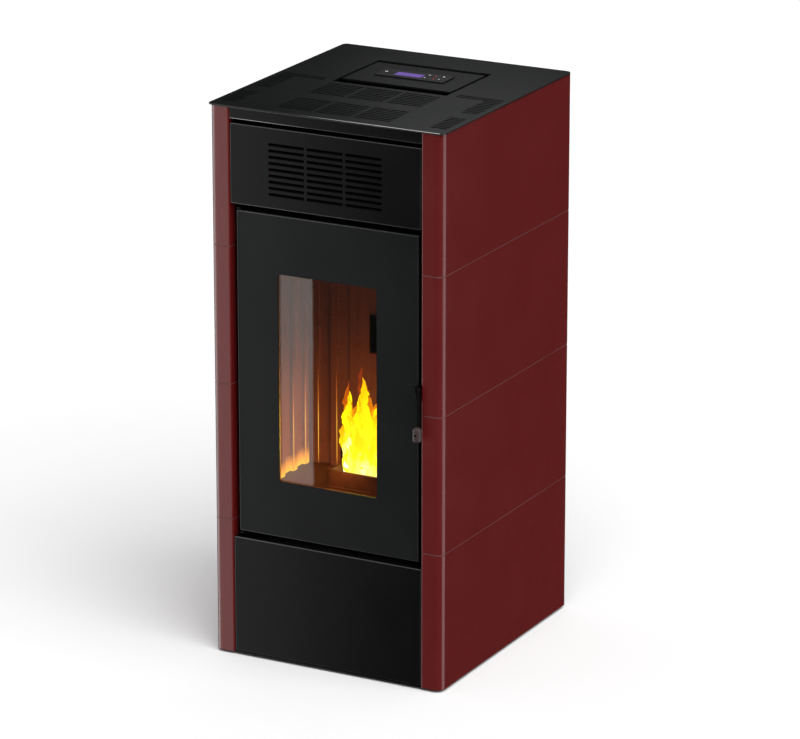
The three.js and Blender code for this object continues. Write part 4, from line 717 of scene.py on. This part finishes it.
def makeGrille():
    p = frontPanels
    middleZ = (p["grilleTop"] + p["grilleBottom"]) / 2
    holes = []
    louvres = bmesh.new()
    gap = p["louvreGap"]
    for column in (-1, 0, 1):
        x0 = column * p["pitchX"] - p["slotWidth"] / 2
        x1 = x0 + p["slotWidth"]
        for row in range(p["slotRows"]):
            top = p["slotTop"] - row * p["slotPitch"]
            holes.append((x0, x1, top - p["slotHeight"] - middleZ, top - middleZ))
            flap = slab(louvres, x0 + gap, x1 - gap, 0, p["louvreDepth"], 0, p["louvreThickness"])
            turn(louvres, p["louvreLean"], "X", flap)
            at = (0, p["front"] + p["sheet"] - p["louvreOverlap"], top - p["slotHeight"] - p["louvreDrop"])
            shift(louvres, at, flap)
    roundEdges(louvres, p["louvreEdge"], 1)
    makeTray("louvred_grille", "upper_grille", p["grilleBottom"], p["grilleTop"], holes)
    evenShading(place("grille_louvres", louvres, "black_satin_steel"))


def makeCrossbar():
    c = crossbar
    bm = bmesh.new()
    slab(bm, -c["halfWidth"], c["halfWidth"], c["front"], c["front"] + c["depth"], c["bottom"], c["top"])
    roundFolds(bm, c["edge"], 3)
    # the lower front edge takes the painted pale highlight
    for face in bm.faces:
        middle = face.calc_center_median()
        if middle.y < c["front"] + c["edge"] and middle.z < c["bottom"] + c["edge"]:
            face.material_index = 2
    evenShading(place("rounded_crossbar", bm, "black_satin_steel", replaced=["front_crossbar"],
                      extra=[lightEdgeHighlight, barLowerHighlight]))


makeGrille()
makeCrossbar()
makeTray("plain_lower_panel", "lower_front_panel", frontPanels["lowerBottom"], frontPanels["lowerTop"], [])
print("front panels folded")


# fire door

door = {
    "halfWidth": 183.5, "bottom": 241, "top": 846.5, "front": -245.5, "back": -221.5, "sheet": 3, "lip": 15,
    "fold": 2.2, "windowHalf": 100, "windowBottom": 348, "windowTop": 738, "windowRadius": 5, "edge": 0.5,
}
glass = {"halfWidth": 108, "bottom": 340, "top": 746, "front": -242.2, "back": -238.2, "edge": 0.5}
hingeBoss = {"size": 14, "height": 34, "inset": 3, "gap": 1, "edge": 1.2}
lug = {
    "left": 182.5, "right": 189.2, "front": -262.7, "back": -237.5, "top": 573, "bottom": 551,
    "step": 5, "headDepth": 6, "headHeight": 10,
}


def makeDoorPanel():
    d = door
    bm = bmesh.new()
    tall = d["top"] - d["bottom"]
    middleZ = (d["top"] + d["bottom"]) / 2
    window = (-d["windowHalf"], d["windowHalf"], d["windowBottom"] - middleZ, d["windowTop"] - middleZ)
    perforated(bm, 2 * d["halfWidth"], tall, [window], d["windowRadius"], 0, 6)
    standUp(bm, d["front"], middleZ)

    def isPastWindow(at):
        return (abs(at.x) > d["windowHalf"] + close or at.z > d["windowTop"] + close
                or at.z < d["windowBottom"] - close)

    rim = [edge for edge in bm.edges if len(edge.link_faces) == 1 and isPastWindow(edge.verts[0].co)]
    sides = bmesh.ops.extrude_edge_only(bm, edges=rim)["geom"]
    shift(bm, (0, d["back"] - d["front"], 0), vertsOf(sides))
    rear = [edge for edge in edgesOf(sides) if all(abs(v.co.y - d["back"]) < close for v in edge.verts)]
    lip = bmesh.ops.extrude_edge_only(bm, edges=rear)["geom"]
    shrink = (1 - d["lip"] / d["halfWidth"], 1, 1 - d["lip"] / (tall / 2))
    bmesh.ops.scale(bm, vec=shrink, space=Matrix.Translation((0, 0, -middleZ)), verts=vertsOf(lip))
    faceForward(bm, d["front"])
    roundFolds(bm, d["fold"], 4)
    panel = place("folded_door_panel", bm, "black_textured_steel", "fire_door", ["door_panel"],
                  extra=[lightEdgeHighlight])
    foldedSheet(panel, d["sheet"], d["edge"], 2)


def makeDoorBlocks():
    # the hinge blocks in the corners and the lug that carries the lever
    d, h, u = door, hingeBoss, lug
    bm = bmesh.new()
    left = -d["halfWidth"]
    lower = (d["bottom"] + h["gap"], d["bottom"] + h["height"])
    upper = (d["top"] - h["height"], d["top"] - h["gap"])
    for z0, z1 in (lower, upper):
        slab(bm, left + h["inset"], left + h["size"], d["front"] + h["inset"], d["front"] + h["size"], z0, z1)
    slab(bm, u["left"], u["right"], u["front"] + u["step"], u["back"], u["bottom"], u["top"])
    slab(bm, u["left"], u["right"], u["front"], u["front"] + u["headDepth"],
         u["top"] - u["headHeight"], u["top"])
    roundEdges(bm, h["edge"])
    evenShading(place("door_hinge_blocks", bm, "black_satin_steel", "fire_door"))


def makeGlass():
    g = glass
    bm = bmesh.new()
    slab(bm, -g["halfWidth"], g["halfWidth"], g["front"], g["back"], g["bottom"], g["top"])
    roundEdges(bm, g["edge"])
    place("bevelled_door_glass", bm, "ceramic_glass", "fire_door", ["door_glass"], smoothBelow=1)


makeDoorPanel()
makeDoorBlocks()
makeGlass()
print("fire door made")


# door lever

lever = {"edge": 0.7, "knobTop": 501.8}


def makeLever():
    bm = fromNode("door_handle")
    roundEdges(bm, lever["edge"], 2, limits["cad"])
    for face in bm.faces:
        face.material_index = int(face.calc_center_median().z < lever["knobTop"])
    evenShading(place("smooth_door_lever", bm, "black_satin_steel", "door_lever", ["door_handle"],
                      extra=[leverSteel]))


makeLever()


# fire board with rounded ribs

boards = {
    "bottom": 316.3, "top": 770, "plate": 5, "rib": 7, "ribWidth": 16, "ribRadius": 2.6,
    "ribSink": 1, "sideReach": 160.7, "sideFrom": -199.4, "sideTo": -37.7, "sidePitch": 45,
    "backRadius": 2.0, "longEdge": 100,
}


def ribStarts(start, end, pitch):
    count = int((end - start - boards["ribWidth"]) // pitch) + 1
    first = (start + end) / 2 - (count - 1) * pitch / 2 - boards["ribWidth"] / 2
    return [first + i * pitch for i in range(count)]


def makeSideBoard(name, node, side):
    b = boards
    bm = bmesh.new()
    outer, face = side * b["sideReach"], side * (b["sideReach"] - b["plate"])
    root, crest = face + side * b["ribSink"], side * (b["sideReach"] - b["plate"] - b["rib"])
    slab(bm, *sorted((outer, face)), b["sideFrom"], b["sideTo"], b["bottom"], b["top"])
    for start in ribStarts(b["sideFrom"], b["sideTo"], b["sidePitch"]):
        slab(bm, *sorted((root, crest)), start, start + b["ribWidth"], b["bottom"], b["top"])
    roundEdges(bm, b["ribRadius"], 4)
    board = evenShading(place(name, bm, "fire_liner", replaced=[node]))
    if side < 0:
        board.data.materials[0] = leftBoard


def makeLiners():
    makeSideBoard("ribbed_left_liner", "left_liner", -1)
    makeSideBoard("ribbed_right_liner", "right_liner", 1)
    bm = fromNode("back_liner")
    ribEdges = [edge for edge in bm.edges
                if abs(edge.verts[0].co.z - edge.verts[1].co.z) > boards["longEdge"]]
    roundEdges(bm, boards["backRadius"], 3, limits["cad"], ribEdges)
    board = evenShading(place("ribbed_back_liner", bm, "fire_liner", replaced=["back_liner"]))
    board.data.materials[0] = backBoard


makeLiners()


# pieces whose CAD shape is right, with the sharpness taken off their edges

softened = {  # node: (body, slot, edge radius in millimetres, segments)
    "hopper_lid": ("lid", "black_textured_steel", 0.6, 2),
    "control_panel": ("lid", "black_plastic", 0.5, 2),
    "glass_retainer": ("fire_door", "zinc_steel", 0.5, 2),
    "door_seal": ("fire_door", "seal_rope", 2.2, 3),
    "front_frame": ("stove", "black_satin_steel", 0.4, 1),
    "burn_pot": ("pot", "cast_iron", 0.7, 2),
    "burn_pot_ledge": ("stove", "cast_iron", 0.8, 2),
    "ash_pan": ("stove", "zinc_steel", 0.4, 1),
    "flame_baffle": ("stove", "fire_liner", 1.5, 2),
    "flue_outlet": ("stove", "black_satin_steel", 0.4, 1),
    "air_intake": ("stove", "zinc_steel", 0.4, 1),
    "mains_inlet": ("stove", "black_plastic", 0.3, 1),
    "mains_switch": ("rocker", "black_plastic", 0.5, 2),
    "upper_door_hinge": ("stove", "black_satin_steel", 0.4, 1),
    "lower_door_hinge": ("stove", "black_satin_steel", 0.4, 1),
    "lid_hinge": ("stove", "zinc_steel", 0.3, 1),
    "pellet_hopper": ("stove", "black_satin_steel", 0.5, 1),
}

for node, (body, slot, radius, steps) in softened.items():
    bm = fromNode(node)
    roundEdges(bm, radius, steps, limits["cad"])
    evenShading(place(f"{node}_soft_edged", bm, slot, body, [node]))
print("edges softened:", len(softened))


# lit screen and keys

screen = {"left": -37, "right": 17, "front": 75.5, "back": 97.5, "bottom": 1039.5, "top": 1040.6, "edge": 0.3}
keys = {
    "radius": 4.2, "bottom": 1038.4, "top": 1041.6, "edge": 0.6, "markLift": 0.02, "mark": 0.5,
    # the symbols: a ring with a bar, three lines, a square and an arrow
    "ring": 2.7, "ringWall": 1.1, "ringBar": (-0.5, 0.5, 0.6, 3.3),
    "line": 1.9, "linePitch": 1.3, "lineHalf": 0.4, "square": 1.7, "arrow": 2.1,
}
keyPlaces = {
    "key_power": ("power_key", -57, 86.5), "key_menu": ("menu_key", 26, 97.5),
    "key_confirm": ("confirm_key", 55, 97.5), "key_down": ("down_key", 26, 76.5),
    "key_up": ("up_key", 55, 76.5),
}
indicators = {"radius": 1.3, "flatness": 0.5, "height": 1040.9, "places": ((38, 99), (44, 77))}


def makeScreen():
    s = screen
    bm = bmesh.new()
    slab(bm, s["left"], s["right"], s["front"], s["back"], s["bottom"], s["top"])
    roundEdges(bm, s["edge"])
    evenShading(place("lit_screen", bm, "lit_display", "lid", ["display"]))


def paintMark(verts):
    for face in {face for vert in verts for face in vert.link_faces}:
        face.material_index = 1


def markBar(bm, x0, x1, y0, y1, z):
    paintMark(slab(bm, x0, x1, y0, y1, z - keys["mark"], z))


def makeKey(node, body, x, y):
    k = keys
    bm = bmesh.new()
    ring = bmesh.ops.create_circle(bm, cap_ends=True, radius=k["radius"], segments=32)["verts"]
    shift(bm, (0, 0, k["bottom"]), ring)
    thicken(bm, k["top"] - k["bottom"])
    roundEdges(bm, k["edge"], 3, limits["fold"])
    z = k["top"] + k["markLift"]
    middle = z - k["mark"] / 2
    if node == "key_power":
        loop = bmesh.ops.create_cone(bm, cap_ends=False, segments=24, radius1=k["ring"], radius2=k["ring"],
                                     depth=k["mark"])["verts"]
        shift(bm, (0, 0, middle), loop)
        walls = list({face for vert in loop for face in vert.link_faces})
        made = bmesh.ops.solidify(bm, geom=walls, thickness=k["ringWall"])["geom"]
        paintMark(loop + vertsOf(made))
        markBar(bm, *k["ringBar"], z)
    elif node == "key_menu":
        for row in (-1, 0, 1):
            y0, y1 = row * k["linePitch"] - k["lineHalf"], row * k["linePitch"] + k["lineHalf"]
            markBar(bm, -k["line"], k["line"], y0, y1, z)
    elif node == "key_confirm":
        markBar(bm, -k["square"], k["square"], -k["square"], k["square"], z)
    else:
        arrow = bmesh.ops.create_cone(bm, cap_ends=True, segments=3, radius1=k["arrow"], radius2=k["arrow"],
                                      depth=k["mark"])["verts"]
        turn(bm, 0 if node == "key_up" else 180, "Z", arrow)
        shift(bm, (0, 0, middle), arrow)
        paintMark(arrow)
    shift(bm, (x, y, 0))
    place(f"{node}_marked", bm, "key_cap", body, [node], extra=[keyMarksPaintedGlow])


def makeIndicators():
    n = indicators
    bm = bmesh.new()
    for x, y in n["places"]:
        dome = bmesh.ops.create_uvsphere(bm, u_segments=12, v_segments=8, radius=n["radius"])["verts"]
        bmesh.ops.scale(bm, vec=(1, 1, n["flatness"]), verts=dome)
        shift(bm, (x, y, n["height"]), dome)
    lamps = place("red_indicator_lamps", bm, "black_plastic", "lid")
    lamps.data.materials[0] = redLamps


makeScreen()
for node, (body, x, y) in keyPlaces.items():
    makeKey(node, body, x, y)
makeIndicators()
print("controls made")


# feet, turned on a spin

foot = {"radius": 16, "pad": 4.4, "chamfer": 1.5, "slope": 3, "stem": 5, "height": 30}
footPlaces = {
    "front_left": (-202, -190.5), "front_right": (202, -190.5),
    "rear_left": (-202, 190.5), "rear_right": (202, 190.5),
}


def makeFoot(name, x, y):
    f = foot
    bm = bmesh.new()
    outline = [(0, 0), (f["radius"] - f["chamfer"], 0), (f["radius"], f["chamfer"]),
               (f["radius"], f["pad"] - f["chamfer"]), (f["radius"] - f["slope"], f["pad"]),
               (f["stem"], f["pad"]), (f["stem"], f["height"]), (0, f["height"])]
    verts = [bm.verts.new((r, 0, z)) for r, z in outline]
    edges = [bm.edges.new(pair) for pair in zip(verts, verts[1:])]
    bmesh.ops.spin(bm, geom=verts + edges, cent=(0, 0, 0), axis=(0, 0, 1), angle=math.tau, steps=32,
                   use_merge=True)
    bmesh.ops.remove_doubles(bm, verts=bm.verts, dist=tiny)
    bmesh.ops.recalc_face_normals(bm, faces=bm.faces)
    shift(bm, (x, y, 0))
    evenShading(place(f"turned_foot_{name}", bm, "zinc_steel", f"{name}_foot", [f"levelling_foot_{name}"]))


for name, (x, y) in footPlaces.items():
    makeFoot(name, x, y)


# fire: glowing pellets in the pot and three shells of flame

fire = {
    "base": 322, "pellets": 150, "pelletRadius": 3.0, "pelletLength": 14, "seed": 5, "flameSeed": 12,
    "worn": (0.85, 1.0), "broken": (0.6, 1.1), "tilt": 0.5, "mound": 0.3, "lift": 4,
    "bed": (-45, 45, -140, -68, 290, 322),
    # x, y, height, radius, lean in x, lean in y, sway
    "tongues": [
        (8, -104, 212, 23, -7, 2, 0.0),
        (-17, -108, 184, 16, -14, -4, 1.3),
        (26, -102, 170, 20, 8, 3, 2.4),
        (-35, -101, 96, 12, -4, 2, 3.1),
        (38, -108, 118, 14, 6, -3, 4.0),
        (-9, -120, 128, 17, -6, -4, 5.2),
        (13, -88, 150, 17, 7, 5, 0.8),
        (-32, -104, 118, 10, -9, -2, 2.0),
        (-4, -112, 162, 20, -2, 0, 0.5),
    ],
    "rings": 30, "sides": 18,
    # a tongue's foot as a share of its radius, then its bulge, narrowing, least radius and tip
    "foot": 0.72, "bulge": 1.25, "taper": 0.8, "least": 0.4, "tip": 3,
    # how it bends: the lean's power, then the turns and millimetres of its swing in x and y
    "lean": 1.6, "swingX": (5.2, 7), "swingY": (4.3, 4),
    # broad and small ripples: how tight, how strong, and the height over which they grow
    "stir": 0.035, "stirUp": 0.6, "stirGrowth": 3, "flick": 0.11, "flickReach": 5.5, "flickGrowth": 2,
    "tall": 190,
    # where in the noise each ripple starts, so that the three shells differ
    "stirStart": 7, "flickStart": (3, 5),
}
flames = {  # grow, rise, strength, how solid, how ragged, ripple in millimetres, colours from foot to tip
    "flame_outer": (1.0, 1.0, 1.5, 0.95, 0.85, 9, [
        (0.0, (1.0, 1.0, 0.80)), (0.14, (1.0, 1.0, 0.30)), (0.30, (1.0, 0.92, 0.01)),
        (0.55, (1.0, 0.55, 0.004)), (0.8, (0.95, 0.22, 0.003)), (1.0, (0.6, 0.06, 0.002))]),
    "flame_middle": (0.84, 0.92, 1.8, 1.4, 0.65, 7, [
        (0.0, (1.0, 1.0, 0.04)), (0.65, (1.0, 0.98, 0.005)), (1.0, (1.0, 0.55, 0.003))]),
    "flame_core": (0.64, 0.74, 2.0, 1.6, 0.5, 6, [
        (0.0, (1.0, 1.0, 0.95)), (0.30, (1.0, 1.0, 0.55)), (0.55, (1.0, 1.0, 0.05)),
        (1.0, (1.0, 0.95, 0.01))]),
}


def makePellets():
    f = fire
    draw = random.Random(f["seed"])
    bm = bmesh.new()
    x0, x1, y0, y1, z0, z1 = f["bed"]
    for _ in range(f["pellets"]):
        pellet = bmesh.ops.create_cone(bm, cap_ends=True, segments=8, radius1=f["pelletRadius"],
                                       radius2=f["pelletRadius"] * draw.uniform(*f["worn"]),
                                       depth=f["pelletLength"] * draw.uniform(*f["broken"]))["verts"]
        spin = Matrix.Rotation(draw.uniform(0, math.tau), 3, "Z")
        tilt = Matrix.Rotation(math.radians(90) + draw.uniform(-f["tilt"], f["tilt"]), 3, "X")
        bmesh.ops.rotate(bm, cent=(0, 0, 0), matrix=spin @ tilt, verts=pellet)
        up = draw.random()
        narrow = 1 - f["mound"] * up
        x = draw.uniform(x0, x1) * narrow
        y = (y0 + y1) / 2 + draw.uniform(-1, 1) * (y1 - y0) / 2 * narrow
        shift(bm, (x, y, z0 + f["lift"] + (z1 - z0) * up), pellet)
    bed = place("glowing_pellet_bed", bm, "cast_iron", "pot", smoothBelow=60)
    bed.data.materials[0] = embers


def growTongue(bm, x, y, tall, radius, leanX, leanY, sway, grow, rise):
    f = fire
    size = radius * grow
    now = size * f["foot"]
    ring = bmesh.ops.create_circle(bm, cap_ends=True, radius=now, segments=f["sides"])["verts"]
    centre = Vector((x, y, f["base"]))
    shift(bm, centre, ring)
    edges = list({edge for vert in ring for edge in vert.link_edges})
    (turnsX, reachX), (turnsY, reachY) = f["swingX"], f["swingY"]
    for step in range(1, f["rings"] + 1):
        t = step / f["rings"]
        wanted = max(size * (f["foot"] + f["bulge"] * t) * (1 - t) ** f["taper"], f["least"])
        target = Vector((x + leanX * t ** f["lean"] + math.sin(turnsX * t + sway) * t * reachX,
                         y + leanY * t ** f["lean"] + math.cos(turnsY * t + sway) * t * reachY,
                         f["base"] + tall * rise * t))
        lifted = bmesh.ops.extrude_edge_only(bm, edges=edges)["geom"]
        verts, edges = vertsOf(lifted), edgesOf(lifted)
        spread = (wanted / now, wanted / now, 1)
        bmesh.ops.scale(bm, vec=spread, space=Matrix.Translation(-centre), verts=verts)
        shift(bm, target - centre, verts)
        centre, now = target, wanted
    bmesh.ops.pointmerge(bm, verts=verts, merge_co=centre + Vector((0, 0, f["tip"])))


def makeFlame(name, grow, rise, strength, solid, ragged, shake, stops):
    f = fire
    bm = bmesh.new()
    noise.seed_set(f["flameSeed"])
    for tongue in f["tongues"]:
        growTongue(bm, *tongue, grow, rise)
    bmesh.ops.recalc_face_normals(bm, faces=bm.faces)
    stirStart = Vector((0, 0, f["stirStart"] * grow))
    flickStart = Vector((f["flickStart"][0], 0, f["flickStart"][1] * grow))
    for vert in bm.verts:
        t = max((vert.co.z - f["base"]) / f["tall"], 0)
        stir = noise.noise_vector(vert.co * f["stir"] + stirStart)
        flick = noise.noise_vector(vert.co * f["flick"] + flickStart)
        broad = Vector((stir.x, stir.y, stir.z * f["stirUp"])) * shake * min(t * f["stirGrowth"], 1)
        vert.co += broad + flick * f["flickReach"] * min(t * f["flickGrowth"], 1)
    shell = place(name, bm, "lit_display", "pot", smoothBelow=180)
    shell.data.materials[0] = flameFinish(f"{name}Glow", stops, strength, solid, ragged)
    shell.visible_shadow = False


makePellets()
for name, values in flames.items():
    makeFlame(name, *values)
print("fire lit")


# every CAD node that still shows takes its own finish

nodeFinish = {  # the others are satin black
    "door_catch": "zinc_steel", "igniter": "stainless_steel", "auger_screw": "stainless_steel",
    "auger_gearmotor": "aluminium", "exhaust_fan_housing": "zinc_steel", "rear_cover": "zinc_steel",
    "exhaust_impeller": "stainless_steel", "room_fan_housing": "zinc_steel",
    "room_fan_impeller": "aluminium", "control_board": "circuit_board",
}

for name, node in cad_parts.items():
    finish = finishes[nodeFinish.get(name, "black_satin_steel")]
    for index in range(max(len(node.material_slots), 1)):
        if index < len(node.data.materials):
            node.data.materials[index] = finish
        else:
            node.data.materials.append(finish)
print("CAD nodes finished")


# floor, world and lamps

studio = {
    "floorSize": 60, "floorColour": (0.94, 0.94, 0.94), "worldStrength": 0.40, "glossStrength": 0.035,
    "sunStrength": 2.75, "sunFrom": (0.45, -0.34, 0.83), "sunAngle": 60,
}
# lamps that only show in gloss: place, aim, width, height, watts
reflectors = {
    "leftCard": ((-0.727, -0.915, 0.30), (-0.257, -0.035, 0.30), 0.56, 1.9, 5.2),
    "leftEdgeCard": ((-0.97, -0.36, 0.30), (-0.23, -0.25, 0.30), 0.62, 1.9, 12.0),
    "rightCard": ((0.911, -0.004, 0.30), (0.23, -0.25, 0.30), 0.58, 1.9, 8.0),
    "edgeCard": ((-0.95, -0.95, 2.60), (0.0, -0.2, 0.9), 1.3, 1.3, 8.0),
    "topCard": ((-0.30, 0.92, 1.68), (0.08, -0.1, 1.04), 0.50, 0.50, 0.8),
}


def makeFloor():
    bm = bmesh.new()
    bmesh.ops.create_grid(bm, x_segments=6, y_segments=6, size=studio["floorSize"] / 2)
    mesh = bpy.data.meshes.new("studioFloor")
    bm.to_mesh(mesh)
    bm.free()
    floor = bpy.data.objects.new("studioFloor", mesh)
    scene.collection.objects.link(floor)
    finish, tree, shader, where = newFinish("paleFloor")
    pale = studio["floorColour"]
    duller = tuple(0.99 * c for c in pale)
    feed(tree, shader, {
        "Base Color": ramp(tree, cloud(tree, where, 3, 3), [(0.3, duller), (0.7, pale)]),
        "Roughness": 0.9,
        "Specular IOR Level": 0.0,
    })
    mesh.materials.append(finish)
    floor.visible_glossy = False
    floor.visible_transmission = False


def makeWorld():
    world = bpy.data.worlds.new("studioWorld")
    world.use_nodes = True
    tree = world.node_tree
    background = next(node for node in tree.nodes if node.type == "BACKGROUND")
    # dimmer in gloss, as in a dark room, so the black panels stay black
    # and white where the camera sees past the floor
    path = newNode(tree, "LightPath", {}).outputs
    level = remap(tree, path["Is Glossy Ray"], 0, 1, studio["worldStrength"], studio["glossStrength"])
    level = combine(tree, "MAXIMUM", level, path["Is Camera Ray"])
    feed(tree, background, {"Color": (1, 1, 1, 1), "Strength": level})
    scene.world = world


def newLamp(name, kind, energy, spot):
    light = bpy.data.lights.new(name, kind)
    light.energy = energy
    lamp = bpy.data.objects.new(name, light)
    scene.collection.objects.link(lamp)
    lamp.location = spot
    return lamp


def makeSun():
    lamp = newLamp("softSun", "SUN", studio["sunStrength"], Vector(studio["sunFrom"]) * 4)
    lamp.data.angle = math.radians(studio["sunAngle"])
    aimAt(lamp, (0, 0, 0))


def makeReflector(name, spot, aim, width, tall, watts):
    lamp = newLamp(name, "AREA", watts, spot)
    lamp.data.shape = "RECTANGLE"
    lamp.data.size = width
    lamp.data.size_y = tall
    aimAt(lamp, aim)
    lamp.visible_camera = False
    lamp.visible_diffuse = False


# lamps inside the firebox: place, watts, radius
fireLight = (1.0, 0.36, 0.07)
fireLamps = {
    "fireGlow": ((0.0, -0.104, 0.41), 3.4, 0.03),
    "emberGlow": ((-0.02, -0.185, 0.365), 0.50, 0.015),
}


def makeFireLamp(name, spot, watts, radius):
    lamp = newLamp(name, "POINT", watts, spot)
    lamp.data.color = fireLight
    lamp.data.shadow_soft_size = radius
    lamp.visible_camera = False
    lamp.visible_glossy = False
    lamp.visible_transmission = False


makeFloor()
makeWorld()
makeSun()
for name, values in reflectors.items():
    makeReflector(name, *values)
for name, values in fireLamps.items():
    makeFireLamp(name, *values)
scene.view_settings.view_transform = "Standard"
print("studio lit")
